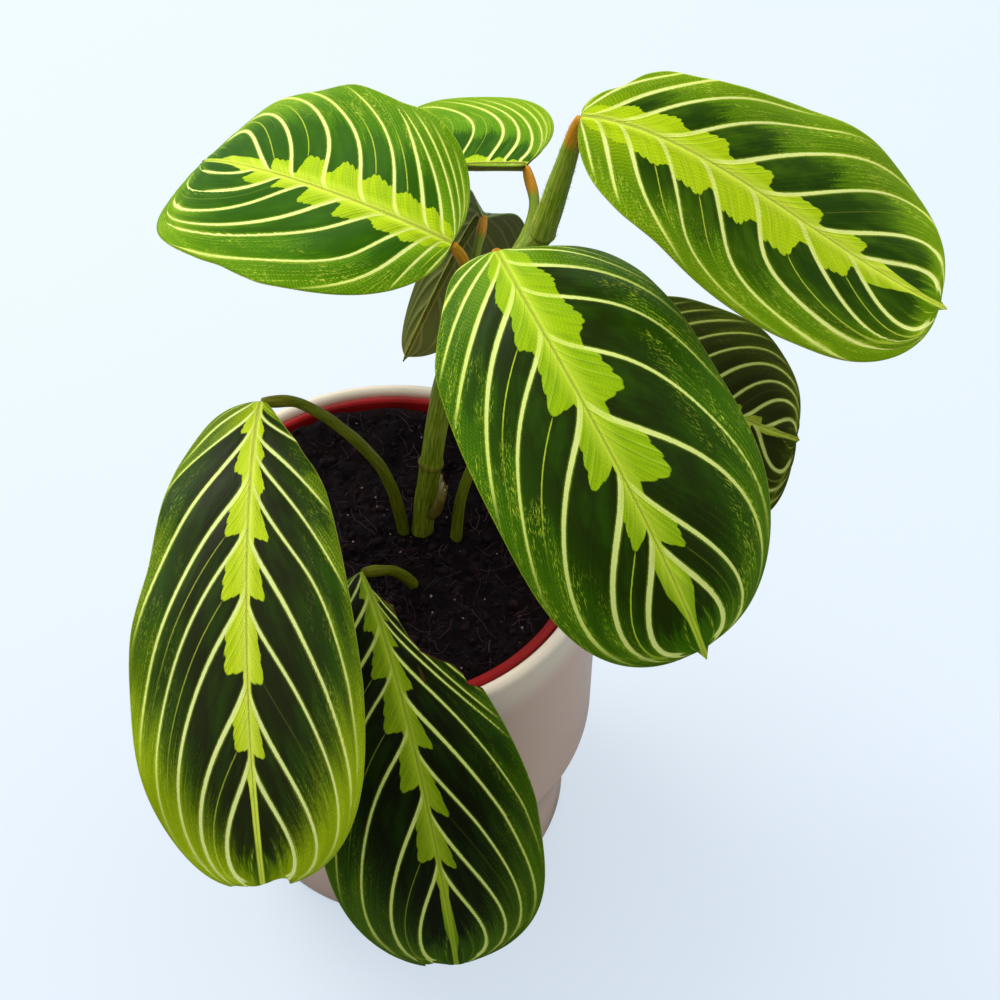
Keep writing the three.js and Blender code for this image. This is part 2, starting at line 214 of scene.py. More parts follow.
def effect(name, takes, gives):
    """A node group with named inputs and outputs, and a bench to wire it on."""
    tree = bpy.data.node_groups.new(name, "ShaderNodeTree")
    kinds = {"colour": "NodeSocketColor", "number": "NodeSocketFloat", "vector": "NodeSocketVector"}
    for label, kind, *start in takes:
        socket = tree.interface.new_socket(label, in_out="INPUT", socket_type=kinds[kind])
        if start:
            socket.default_value = start[0]
    for label, kind in gives:
        tree.interface.new_socket(label, in_out="OUTPUT", socket_type=kinds[kind])
    inside = tree.nodes.new("NodeGroupInput").outputs
    outside = tree.nodes.new("NodeGroupOutput").inputs
    print(f"effect {name}: {len(takes)} inputs, {len(gives)} outputs")
    return tree, Bench(tree), inside, outside


def finish(name, colour, **constants):
    """A material with one Principled shader. Returns it, its bench and the shader's inputs.

    A constant goes by its socket's name, with _ for a space.
    """
    material = bpy.data.materials.new(name)
    material.use_nodes = True
    shader = material.node_tree.nodes["Principled BSDF"]
    shader.inputs["Base Color"].default_value = colour
    for label, value in constants.items():
        shader.inputs[label.replace("_", " ")].default_value = value
    print("finish:", name)
    return material, Bench(material.node_tree), shader.inputs


# %% [markdown]
# A soft key light hangs behind the plant, high on the left, as a window would, and a pale wide
# glow fills the shadows from above and behind. The side of the room behind the camera is dim,
# which leaves the front of the pot in its own shade. Lamps alone could do it, but a world that
# brightens to one side gives the even light of a studio with one node graph.

# %% The light
WINDOW_PLACE = Vector((-0.75, 0.75, 1.5))
WINDOW_AIM = Vector((0.02, 0, 0.15))
SKY = (0.97, 0.985, 1.0, 1)
BLACK = (0, 0, 0, 1)

window_data = bpy.data.lights.new("window", "AREA")
window_data.shape = "DISK"
window_data.size = 0.9
window_data.energy = 16
window_data.color = (1.0, 0.98, 0.94)
window = put("window", window_data)
window.location = WINDOW_PLACE
window.rotation_euler = (WINDOW_AIM - WINDOW_PLACE).to_track_quat("-Z", "Y").to_euler()

sky = bpy.data.worlds.new("sky")
sky.use_nodes = True
room = Bench(sky.node_tree)
_, depth, height = room.parts(room.node("TexCoord").outputs["Generated"])
towards_window = room.plus(room.times(depth, 0.6), room.times(height, 0.8))
glow = room.rise(towards_window, -0.3, 0.75, 0.22, 1.25)
room.join(room.mix(glow, BLACK, SKY), sky.node_tree.nodes["Background"].inputs["Color"])
bpy.context.scene.world = sky
bpy.context.scene.view_settings.view_transform = "Standard"
print("window power in watts:", window_data.energy)

# %% [markdown]
# Nothing that grows or is fired in a kiln has one even colour. This group shifts a colour by
# two scales of noise: broad patches and fine grain. Stems, soil, glaze and plastic all use it,
# each with its own values.

# %% Shared effect: mottling
def make_mottling():
    takes = [
        ("Place", "vector"), ("Colour", "colour"), ("Patch colour", "colour"),
        ("Patch scale", "number", 40.0), ("Grain scale", "number", 900.0),
        ("Patches", "number", 0.3), ("Grain", "number", 0.15),
    ]
    tree, b, given, out = effect("mottling", takes, [("Colour", "colour"), ("Grain", "number")])
    patches = b.rise(b.noise(given["Place"], given["Patch scale"], 3.0), 0.35, 0.68)
    grain = b.noise(given["Place"], given["Grain scale"], 3.0, 0.6)
    patched = b.mix(b.times(patches, given["Patches"]), given["Colour"], given["Patch colour"])
    brightness = b.plus(1.0, b.times(b.minus(grain, 0.5), given["Grain"]))
    scaled = b.node("VectorMath", {0: patched, 3: brightness}, operation="SCALE").outputs[0]
    b.join(scaled, out["Colour"])
    b.join(grain, out["Grain"])
    return tree


mottling = make_mottling()


def mottled(bench, place, colour, patch, **values):
    """Places the mottling in a finish. A value goes by its input's name, with _ for a space."""
    made = bench.node("Group", node_tree=mottling)
    bench.join(place, made.inputs["Place"])
    made.inputs["Colour"].default_value = colour
    made.inputs["Patch colour"].default_value = patch
    for label, value in values.items():
        made.inputs[label.replace("_", " ")].default_value = value
    return made.outputs


# %% [markdown]
# The floor is a sheet of translucent card, lit from below as on a light table. That keeps it
# pale and the shadows on it weak. Only the camera sees that glow, so it doesn't light the pot.
# The floor is a stage, not a part of the plant.

# %% The floor
CARD_GLOW = 0.63


def mesh_of(bm, name):
    """Turns a bmesh into a mesh."""
    mesh = bpy.data.meshes.new(name)
    bm.to_mesh(mesh)
    bm.free()
    return mesh


card, b, shader = finish("pale card", tint(200, 206, 212), Roughness=0.9, Specular_IOR_Level=0.0,
                         Emission_Color=tint(226, 240, 255))
tone = mottled(b, b.place(), tint(150, 154, 158), tint(147, 151, 156), Patch_scale=3.0, Grain=0.02)
b.join(tone["Colour"], shader["Base Color"])
seen_by_camera = b.node("LightPath").outputs["Is Camera Ray"]
b.join(b.times(seen_by_camera, CARD_GLOW), shader["Emission Strength"])
floor_bm = bmesh.new()
bmesh.ops.create_grid(floor_bm, x_segments=4, y_segments=4, size=4.0)
floor_mesh = mesh_of(floor_bm, "floor")
floor_mesh.materials.append(card)
floor = put("floor", floor_mesh)

# %% [markdown]
# Each finished piece gets the same last steps: a smooth surface, its materials, a place on the
# plant's one body, and the solid that it stands for is hidden.

# %% Finish a piece
def present(name, mesh, materials, node=None):
    """Puts a piece in the scene. It stands for a node of the frame, or is one that is added."""
    for material in materials:
        mesh.materials.append(material)
    mesh.shade_smooth()
    piece = put(name, mesh)
    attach(piece, "root")
    if node:
        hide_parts(node)
    print(f"{name}: {len(mesh.polygons)} faces")
    return piece


# %% [markdown]
# ## The pots
# A cast pot has one profile all the way round. It could be built up from cylinders, but then
# each change of width would need its own bevel. Here a profile of a few lines and curves is
# spun about the axis, which gives the whole body at once.

# %% Spin a profile
POT_STEPS = 144


def curve(*corners, count=10):
    """Points of a curve through four corners in radius and height, without its first one."""
    flat = [Vector((radius, height, 0)) for radius, height in corners]
    return [(p.x, p.y) for p in interpolate_bezier(*flat, count + 1)][1:]


def arc(centre, radius, start, end, count):
    """Points of a part of a circle, from one angle to another in degrees."""
    angles = [math.radians(start + (end - start) * k / count) for k in range(count + 1)]
    return [(centre[0] + radius * math.cos(a), centre[1] + radius * math.sin(a)) for a in angles]


def spun(profile, steps=POT_STEPS):
    """A closed body of revolution about Z, from points in radius and height in millimetres."""
    bm = bmesh.new()
    points = [bm.verts.new((radius * MM, 0, height * MM)) for radius, height in profile]
    edges = [bm.edges.new(pair) for pair in zip(points, points[1:])]
    bmesh.ops.spin(
        bm, geom=points + edges, cent=(0, 0, 0), axis=(0, 0, 1), angle=2 * math.pi,
        steps=steps, use_merge=True,
    )
    bmesh.ops.remove_doubles(bm, verts=bm.verts, dist=0.001 * MM)
    bmesh.ops.recalc_face_normals(bm, faces=bm.faces)
    return bm


# %% [markdown]
# The cachepot is slip-cast: a foot with a sharp step above it, a belly that swells to a
# straight wall, and a round lip. The bottom rests flat on the floor.

# %% The cachepot's form
POT_HEIGHT = 125
POT_RADIUS = 59.5
POT_WALL = 4
POT_FLOOR = 6
FOOT_HEIGHT = 37
FOOT_RADIUS = 52
BELLY_HEIGHT = 52
FOOT_EDGE = 1.2

outside = POT_RADIUS - 0.1
inside = POT_RADIUS - POT_WALL
lip = (POT_RADIUS - POT_WALL / 2, POT_HEIGHT - POT_WALL / 2)
ledge = (FOOT_RADIUS + 1.2, FOOT_HEIGHT + 0.7)
cachepot_profile = [
    (0, 0), (FOOT_RADIUS - 12, 0), (FOOT_RADIUS - FOOT_EDGE, 0),
    *arc((FOOT_RADIUS - FOOT_EDGE, FOOT_EDGE), FOOT_EDGE, -90, 0, 4)[1:],
    (FOOT_RADIUS, FOOT_HEIGHT / 2), (FOOT_RADIUS, FOOT_HEIGHT - 0.4),
    (FOOT_RADIUS + 0.2, FOOT_HEIGHT), (FOOT_RADIUS + 0.9, FOOT_HEIGHT + 0.25), ledge,
    *curve(ledge, (FOOT_RADIUS + 3.1, FOOT_HEIGHT + 4), (outside, BELLY_HEIGHT - 4),
           (outside, BELLY_HEIGHT), count=16),
    (outside, 70), (outside, 95),
    *arc(lip, POT_WALL / 2, 0, 180, 14),
    (inside, 95), (inside, BELLY_HEIGHT + 2),
    *curve((inside, BELLY_HEIGHT + 2), (inside, 47), (FOOT_RADIUS - 3, 43), (FOOT_RADIUS - 3.6, 28)),
    (FOOT_RADIUS - 4, 14),
    *curve((FOOT_RADIUS - 4, 14), (FOOT_RADIUS - 4, 8), (FOOT_RADIUS - 6, POT_FLOOR),
           (FOOT_RADIUS - 10, POT_FLOOR), count=5),
    (0, POT_FLOOR),
]
cachepot_mesh = mesh_of(spun(cachepot_profile), "cachepot")
print("points in the cachepot's profile:", len(cachepot_profile))

# %% [markdown]
# A cream glaze is glassy, but it isn't even. It pools and thins in soft waves, it has pinholes
# and specks, and dust dulls it in patches. The waves go into the normal, the specks into the
# colour and the dust into the roughness. The lip keeps the palest tone, and the wall below it is
# painted darker and warmer: painted shade, for the wall stands in its own shade while the lip is
# lit. The unglazed rim of the foot is left a little darker.

# %% The glaze
glaze, b, shader = finish("cream glaze", tint(240, 226, 203), Roughness=0.2)
where = b.place()
tone = mottled(b, where, tint(254, 242, 220), tint(246, 230, 204), Patch_scale=28.0, Grain_scale=420.0,
               Patches=0.6, Grain=0.05)
height = b.parts(where)[2]
speck = b.rise(b.cells(where, 260.0), 0.10, 0.05)
rare = b.rise(b.noise(where, 90.0), 0.60, 0.66)
shade = b.stain(tone["Colour"], b.times(speck, rare), 0.55, tint(168, 140, 108))
# Painted shade: below the lip the wall is darkened to a warmer tone, as if it stood in its own shade.
painted_wall_shade = b.mix(0.75, shade, tint(226, 188, 170))
shade = b.mix(b.rise(height, 0.121, 0.108), shade, painted_wall_shade)
worn = b.rise(height, 0.0012, 0.0002)
shade = b.stain(shade, worn, 0.7, tint(190, 166, 138))
b.join(shade, shader["Base Color"])
dust = b.rise(b.noise(where, 35.0, 4.0, 0.6), 0.40, 0.72, 0.13, 0.26)
b.join(b.plus(dust, b.times(worn, 0.4)), shader["Roughness"])
waves = b.bump(b.noise(where, 60.0, 2.0), 0.0006, 0.5)
pits = b.bump(b.minus(b.noise(where, 500.0, 2.0), b.times(speck, 0.6)), 0.00012, 0.35, waves)
b.join(pits, shader["Normal"])
present("cachepot_glazed", cachepot_mesh, [glaze], "cachepot")

# %% [markdown]
# The nursery pot is thin moulded plastic with a thicker lip and six round drain holes in its
# floor. Its profile is spun like the cachepot's. Where a drain hole goes, the faces of the
# floor are deleted on both sides, and the two open edges are bridged.

# %% The nursery pot's form
NURSERY_TOP = 124
NURSERY_RADIUS = 54.9
NURSERY_BASE = 42
NURSERY_WALL = 1.3
LIP_HEIGHT = 10
LIP_WIDTH = 2.6
LIP_STEP = 1.6
GAP = 0.3
DRAIN_HOLES = 6
DRAIN_RING = 28
DRAIN_RADIUS = 4

base_level = POT_FLOOR + GAP
floor_level = base_level + 2
lip_foot = NURSERY_TOP - LIP_HEIGHT
body_radius = NURSERY_RADIUS - LIP_STEP
floor_rings = range(DRAIN_RING - DRAIN_RADIUS, DRAIN_RING + DRAIN_RADIUS + 1)
nursery_profile = [
    (0, base_level), *[(ring, base_level) for ring in floor_rings],
    (NURSERY_BASE - 1, base_level), (NURSERY_BASE - 0.3, base_level + 0.3),
    (NURSERY_BASE, base_level + 1), (body_radius, lip_foot),
    (NURSERY_RADIUS - 0.5, lip_foot), (NURSERY_RADIUS - 0.3, lip_foot + 0.3),
    (NURSERY_RADIUS, NURSERY_TOP - 0.8),
    *arc((NURSERY_RADIUS - 0.8, NURSERY_TOP - 0.8), 0.8, 0, 90, 5)[1:],
    (NURSERY_RADIUS - LIP_WIDTH + 0.5, NURSERY_TOP), (NURSERY_RADIUS - LIP_WIDTH, NURSERY_TOP - 0.5),
    (body_radius - NURSERY_WALL, lip_foot - 1), (NURSERY_BASE - NURSERY_WALL, floor_level),
    *[(ring, floor_level) for ring in reversed(floor_rings)], (0, floor_level),
]
nursery = spun(nursery_profile)
for k in range(DRAIN_HOLES):
    angle = math.radians(360 / DRAIN_HOLES * k)
    hole = Vector((DRAIN_RING * math.cos(angle), DRAIN_RING * math.sin(angle))) * MM
    near = [f for f in nursery.faces
            if (f.calc_center_median().xy - hole).length < DRAIN_RADIUS * MM
            and f.calc_center_median().z < (floor_level + 0.1) * MM]
    border = [e for e in {e for f in near for e in f.edges}
              if sum(f in near for f in e.link_faces) == 1]
    bmesh.ops.delete(nursery, geom=near, context="FACES")
    bmesh.ops.bridge_loops(nursery, edges=[e for e in border if e.is_valid])
bmesh.ops.recalc_face_normals(nursery, faces=nursery.faces)
print("faces of the nursery pot:", len(nursery.faces))
nursery_mesh = mesh_of(nursery, "nursery_pot")

# %% [markdown]
# The plastic is a dark red with a soft shine, and soil has left dull smears on it. A plain red
# would look new, so noise darkens it in patches, and the smears change colour and roughness.

# %% The red plastic
plastic, b, shader = finish("red plastic", tint(150, 26, 24), Roughness=0.42, Specular_IOR_Level=0.25)
where = b.place()
tone = mottled(b, where, tint(168, 16, 18), tint(112, 10, 14), Patch_scale=45.0, Grain_scale=1500.0,
               Patches=0.7, Grain=0.25)
grime = b.rise(b.noise(where, 160.0, 4.0, 0.65), 0.56, 0.74)
b.join(b.stain(tone["Colour"], grime, 0.45, tint(58, 30, 26)), shader["Base Color"])
b.join(b.plus(0.34, b.times(grime, 0.35)), shader["Roughness"])
b.join(b.bump(b.noise(where, 1400.0, 2.0), 0.00008, 0.4), shader["Normal"])
present("nursery_pot_red", nursery_mesh, [plastic], "nursery_pot")

# %% [markdown]
# ## The soil
# Potting soil is dark and damp. Its body is spun like the pots, with many rings in its top, and
# the top is then heaped and roughened with noise. At the back of the pot it is banked against
# the wall. A bump in the finish alone wouldn't do, because it leaves a flat edge at the wall.

# %% The soil bed
SOIL_TOP = 117
SOIL_RADIUS = 50.6
SOIL_RINGS = 70
SOIL_STEPS = 180
BANK = 6

soil_floor = floor_level + GAP
wall_radius = body_radius - NURSERY_WALL - GAP
soil_rings = [SOIL_RADIUS * (1 - (k / SOIL_RINGS) ** 1.15) for k in range(SOIL_RINGS)] + [0]


def soil_height(x, y):
    """The height of the soil at a place, in millimetres."""
    heap = 0.7 * math.sin(0.31 * x + 1) * math.cos(0.27 * y) + 0.4 * math.sin(0.2 * x - 0.43 * y)
    lumps = 1.3 * noise.noise((x * 0.28, y * 0.28, 1.0)) + 0.8 * noise.noise((x * 0.7, y * 0.7, 4.0))
    grit = 0.4 * noise.noise((x * 1.9, y * 1.9, 8.0))
    out, behind = math.hypot(x, y) / 50, (y - 0.6 * x) / 50
    bank = BANK * min(1, max(0, (out - 0.6) / 0.36)) ** 1.3 * min(1, max(0, 0.55 + behind * 0.75))
    return SOIL_TOP + heap + lumps * (1 - 0.07 * bank) + grit + bank


soil_profile = [
    (0, soil_floor), (20, soil_floor), (NURSERY_BASE - NURSERY_WALL - GAP, soil_floor),
    (wall_radius, lip_foot - 1), (wall_radius - 0.6, SOIL_TOP - 1.4),
    *[(ring, SOIL_TOP) for ring in soil_rings],
]
soil_bm = spun(soil_profile, SOIL_STEPS)
for vertex in soil_bm.verts:
    if vertex.co.z > (SOIL_TOP - 0.5) * MM:
        vertex.co.z = soil_height(vertex.co.x / MM, vertex.co.y / MM) * MM
print("faces of the soil:", len(soil_bm.faces))
soil_mesh = mesh_of(soil_bm, "soil")

# %% [markdown]
# Damp peat is nearly black, and brown threads of old roots run through it. The threads are the
# places where a warped noise passes its middle value. They tint the soil and raise it a little.

# %% The soil's finish
damp, b, shader = finish("damp soil", tint(20, 9, 13), Roughness=0.9, Specular_IOR_Level=0.15)
where = b.place()
tone = mottled(b, where, tint(7, 2, 5), tint(26, 11, 14), Patch_scale=170.0, Grain_scale=2600.0,
               Patches=0.8, Grain=1.4)
warped = {"Vector": where, "Scale": 420.0, "Detail": 4.0, "Distortion": 3.0}
threads = b.node("TexNoise", warped).outputs[0]
thread = b.rise(b.math("ABSOLUTE", b.minus(threads, 0.5)), 0.035, 0.0)
b.join(b.stain(tone["Colour"], thread, 0.45, tint(62, 30, 40)), shader["Base Color"])
b.join(b.rise(b.noise(where, 240.0, 3.0), 0.35, 0.7, 0.95, 0.62), shader["Roughness"])
clods = b.plus(b.noise(where, 500.0, 6.0, 0.65), b.times(thread, 0.25))
b.join(b.bump(clods, 0.0012, 1.0), shader["Normal"])
present("soil_bed", soil_mesh, [damp], "soil")

# %% [markdown]
# A stem, a root fibre and a hair are all rods along a path. The path is a smooth curve through
# a few points. A circle is made at its start, and its edge is extruded from step to step, each
# time moved, turned and scaled by one matrix. Every vertex remembers where it is on the rod, so
# that a finish can follow it: the two parts of its direction round the rod, and the way along.

# %% Paths and rods
def smooth_path(points, step):
    """Evenly spaced points of a curve that passes through the given ones."""
    known = [Vector(p) for p in points]
    known = [known[0] * 2 - known[1], *known, known[-1] * 2 - known[-2]]
    dense = [known[1]]
    for p0, p1, p2, p3 in zip(known, known[1:], known[2:], known[3:]):
        d0, d1, d2 = ((q - p).length ** 0.5 for p, q in ((p0, p1), (p1, p2), (p2, p3)))
        out = ((p1 - p0) / d0 - (p2 - p0) / (d0 + d1) + (p2 - p1) / d1) * d1
        back = ((p2 - p1) / d1 - (p3 - p1) / (d1 + d2) + (p3 - p2) / d2) * d1
        dense += interpolate_bezier(p1, p1 + out / 3, p2 - back / 3, p2, 24)[1:]
    spots = np.array([tuple(p) for p in dense])
    reached = np.concatenate([[0], np.cumsum(np.linalg.norm(np.diff(spots, axis=0), axis=1))])
    count = max(4, round(reached[-1] / step))
    wanted = np.linspace(0, reached[-1], count + 1)
    even = np.column_stack([np.interp(wanted, reached, spots[:, k]) for k in range(3)])
    return [Vector(p) for p in even], reached[-1]


def frames_along(points):
    """A frame at each point: its Z axis follows the path, and it never twists about it."""
    frames = []
    turned = before = None
    for k, point in enumerate(points):
        along = (points[min(k + 1, len(points) - 1)] - points[max(k - 1, 0)]).normalized()
        if turned is None:
            turned = along.to_track_quat("Z", "Y")
        else:
            turned = before.rotation_difference(along) @ turned
        before = along
        frames.append(Matrix.Translation(point * MM) @ turned.to_matrix().to_4x4())
    return frames


def grow_rod(bm, points, radii, length, sides):
    """Adds a closed round rod to the bmesh."""
    place = bm.verts.layers.float_vector.get("stem") or bm.verts.layers.float_vector.new("stem")
    shapes = [frame @ Matrix.Scale(radius * MM, 4)
              for frame, radius in zip(frames_along(points), radii)]
    ring = bmesh.ops.create_circle(bm, segments=sides, radius=1, matrix=shapes[0])["verts"]
    for vertex in ring:
        round_it = shapes[0].inverted() @ vertex.co
        vertex[place] = (round_it.x, round_it.y, 0)
    edges = list({edge for vertex in ring for edge in vertex.link_edges})
    bmesh.ops.edgeloop_fill(bm, edges=edges)
    for k in range(1, len(shapes)):
        grown = bmesh.ops.extrude_edge_only(bm, edges=edges)["geom"]
        edges = [item for item in grown if isinstance(item, bmesh.types.BMEdge)]
        ring = [item for item in grown if isinstance(item, bmesh.types.BMVert)]
        bmesh.ops.transform(bm, matrix=shapes[k] @ shapes[k - 1].inverted(), verts=ring)
        for vertex in ring:
            vertex[place] = (vertex[place][0], vertex[place][1], length * k / (len(shapes) - 1))
    bmesh.ops.edgeloop_fill(bm, edges=edges)


# %% [markdown]
# Crumbs, a few pale grains and root fibres lie loose on the soil. A particle system could
# scatter them, but plain meshes survive an export. A crumb is a small icosphere with its corners
# pushed about, and a fibre is a thin rod of four sides. None lies where a stem comes up.

# %% What lies on the soil
CRUMBS = 1100
GRAINS = 60
FIBRES = 300
LOOSE_REACH = 49.5

random.seed(11)
crumbs = bmesh.new()
grains = bmesh.new()
fibres = bmesh.new()
stem_feet = [(9.5, 9, 4), (19, 6, 3), (4, 9, 3), (9, -11, 3)]


def spot_on_soil(reach=LOOSE_REACH):
    """A place on the soil that is clear of the stems."""
    while True:
        angle, radius = random.uniform(0, 2 * math.pi), reach * math.sqrt(random.random())
        x, y = radius * math.cos(angle), radius * math.sin(angle)
        if all(math.hypot(x - fx, y - fy) > clear for fx, fy, clear in stem_feet):
            return x, y


def drop_grain(bm, size, sink):
    """Adds a rough grain somewhere on the soil, sunk in by a share of its size."""
    x, y = spot_on_soil()
    turn = random.uniform(0, 3)
    lean = Matrix.Rotation(turn, 4, (random.random(), random.random(), random.random() + 0.1))
    sides = random.uniform(0.6, 1.3), random.uniform(0.6, 1.1), random.uniform(0.5, 0.9)
    squash = Matrix.Diagonal((*sides, 1))
    place = Matrix.Translation(Vector((x, y, soil_height(x, y) - sink * size)) * MM)
    made = bmesh.ops.create_icosphere(bm, subdivisions=1, radius=size * MM,
                                      matrix=place @ lean @ squash)
    for vertex in made["verts"]:
        vertex.co += Vector([random.uniform(-0.16, 0.16) * size * MM for _ in range(3)])


for _ in range(CRUMBS):
    drop_grain(crumbs, random.choice((0.35, 0.5, 0.7, 1.0, 1.5)) * random.uniform(0.7, 1.2), 0.1)
for _ in range(GRAINS):
    drop_grain(grains, random.uniform(0.15, 0.42), -0.2)
for _ in range(FIBRES):
    x, y = spot_on_soil(46)
    heading, length = random.uniform(0, 2 * math.pi), random.uniform(2.5, 11)
    path = []
    for k in range(5):
        lift = random.uniform(0.05, 1.0) + (0.8 if k in (0, 4) else 0)
        path.append((x, y, soil_height(x, y) + lift))
        heading += random.uniform(-0.7, 0.7)
        x += math.cos(heading) * length / 4
        y += math.sin(heading) * length / 4
        out = math.hypot(x, y) / LOOSE_REACH
        x, y = (x / out, y / out) if out > 1 else (x, y)
    points, whole = smooth_path(path, length / 8)
    thin = random.uniform(0.05, 0.13)
    radii = [thin * (1 - 0.5 * k / len(points)) for k in range(len(points))]
    grow_rod(fibres, points, radii, whole, 4)
print("crumbs, grains and fibres:", len(crumbs.faces), len(grains.faces), len(fibres.faces))

# %% [markdown]
# What is small still isn't of one colour. Crumbs, grains and fibres, and later the hairs of the
# stems, share one kind of finish: two tones in patches, with grain in the colour, in the
# roughness and, on the crumbs, in the surface.

# %% Finishes for what lies on the soil
def two_toned(name, constants, colour, tones, between, relief=False, **values):
    """A finish of two mottled tones. Its roughness goes between two values with the grain."""
    material, b, shader = finish(name, tint(*colour), **constants)
    where = b.place()
    tone = mottled(b, where, tint(*tones[0]), tint(*tones[1]), **values)
    b.join(tone["Colour"], shader["Base Color"])
    b.join(b.ramp(tone["Grain"], 0.3, 0.7, *between), shader["Roughness"])
    if relief:
        b.join(b.bump(b.noise(where, 1800.0, 4.0, 0.6), 0.0003, 0.9), shader["Normal"])
    return material


crumb_finish = two_toned(
    "soil crumbs", dict(Roughness=0.92, Specular_IOR_Level=0.2), (48, 28, 30),
    ((9, 3, 6), (48, 22, 28)), (0.95, 0.75), relief=True,
    Patch_scale=260.0, Grain_scale=2400.0, Patches=0.75, Grain=1.0)
grain_finish = two_toned(
    "pale grains", dict(Roughness=0.8), (176, 160, 164), ((186, 172, 176), (126, 84, 84)),
    (0.7, 0.9), Patch_scale=200.0, Patches=0.8)
fibre_finish = two_toned(
    "root fibres", dict(Roughness=0.7), (104, 72, 80), ((34, 16, 22), (96, 60, 70)),
    (0.6, 0.8), Patch_scale=110.0, Grain_scale=3000.0, Patches=0.8, Grain=0.6)
loose = (("crumbs", crumbs, crumb_finish), ("grains", grains, grain_finish),
         ("fibres", fibres, fibre_finish))
for name, bm, material in loose:
    present(f"soil_{name}", mesh_of(bm, f"soil_{name}"), [material])

# %% [markdown]
# ## The stems
# A leaf stalk of this plant is round and finely ribbed. Just under the blade it has a short
# joint, a little swollen and orange, with which the plant lifts its leaves at night. The main
# shoot has rings where leaves were. The ribs and rings are small moves of the rod's surface,
# worked out from the place that each vertex remembers.
#
# The table gives each stem's path, its radius at the root and at the neck, the radius of its
# joint, and how old its skin is at either end, from 0 to 1. On the stalk of the right leaf that
# old, dark tone is painted shade, for the stalk stands in deep shade. The stalks stop a fine gap
# before their blades, but the one of the hanging leaf reaches into its blade, whose base is narrow.

# %% The shape of the stems
JOINT_LENGTH = 9
JOINT_GAP = 0.4
ROOT = SOIL_TOP - 24
RING_HEIGHT = 0.55
RING_WIDTH = 1.1
RIBS = 11
RIB_HEIGHT = 0.035
SWELLING = 0.25
PINCH = 0.35
STEM_SIDES = 28

stems = {
    "main_shoot": dict(
        path=[(9.5, 9, ROOT), (9.5, 9, SOIL_TOP), (13, 12, 145), (18, 15, 175), (28, 15, 203),
              (36.8, 11, 218), (41.2, 6, 230)],
        root=3.1, neck=2.9, joint=0, age_and_shade=(0.75, 0.1), rings=(50, 84)),
    "petiole_top_right": dict(path=[(41.3, 5.9, 230.4), (44.6, 4.8, 245)], end=(49, 4, 265), root=3.3,
                              neck=1.7, joint=1.3, age_and_shade=(0.1, 0.1)),
    "petiole_top_left": dict(path=[(18, 15, 178), (21.5, 17, 197), (23, 15.5, 211)], end=(20, 14, 220),
                             root=1.6, neck=1.2, joint=1.2, age_and_shade=(0.2, 0.1)),
    "petiole_back": dict(path=[(32, 14, 210), (38, 25, 213), (40, 34, 216)], end=(38, 42, 221),
                         root=1.7, neck=1.1, joint=1.2, age_and_shade=(0.2, 0.1)),
    "petiole_centre": dict(path=[(29, 14, 205), (30.5, 7, 215), (30.5, -1, 227)], end=(31, -8, 237),
                           root=1.6, neck=1.2, joint=1.3, age_and_shade=(0.2, 0.2)),
    # Painted shade: this stalk gets old, dark skin all along, for it stands in deep shade under the
    # leaves.
    "petiole_right": dict(path=[(19, 6, ROOT), (19, 6, SOIL_TOP), (23, 10, 140), (36, 19, 158)],
                          end=(52, 22, 161), root=1.9, neck=1.2, joint=1.3, age_and_shade=(1, 0.5)),
    "petiole_hanging": dict(path=[(15, 13.5, 159), (20, 30, 177), (25, 48, 186)], end=(27, 60, 188),
                            root=1.5, neck=1.1, joint=1.2, age_and_shade=(0.4, 0.3), gap=-0.8),
    "petiole_front_left": dict(path=[(4, 9, ROOT), (4, 9, SOIL_TOP), (-2, 10, 145), (-21, 12, 166)],
                               end=(-31, 9, 170), root=1.9, neck=1.4, joint=1.4, age_and_shade=(1.0, 0.85)),
    "petiole_front": dict(path=[(9, -11, ROOT), (8, -11, SOIL_TOP - 1), (3, -13, 126)],
                          end=(-5, -20, 135), root=1.9, neck=1.3, joint=1.4, age_and_shade=(1.0, 0.9)),
}


def stem_radius(stem, along, length):
    """The radius of a stem at a share of its length."""
    radius = stem["root"] + (stem["neck"] - stem["root"]) * along
    for ring in stem.get("rings", ()):
        radius += RING_HEIGHT * math.exp(-((along * length - ring) / RING_WIDTH) ** 2)
    if not stem["joint"]:
        return radius
    share = min(1, max(0, 1 - (1 - along) * length / JOINT_LENGTH))
    swelling = SWELLING * math.sin(math.pi * share)
    return radius + (stem["joint"] - radius) * share + swelling - PINCH * share ** 6


def read(items, field):
    """The vectors of many items, as an array with three columns."""
    flat = np.zeros(len(items) * 3, np.float32)
    items.foreach_get(field, flat)
    return flat.reshape(-1, 3)


def write(mesh, name, vectors):
    """Stores a vector for each vertex, which a finish can read by its name."""
    layer = mesh.attributes.new(name, "FLOAT_VECTOR", "POINT")
    layer.data.foreach_set("vector", vectors.astype(np.float32).ravel())


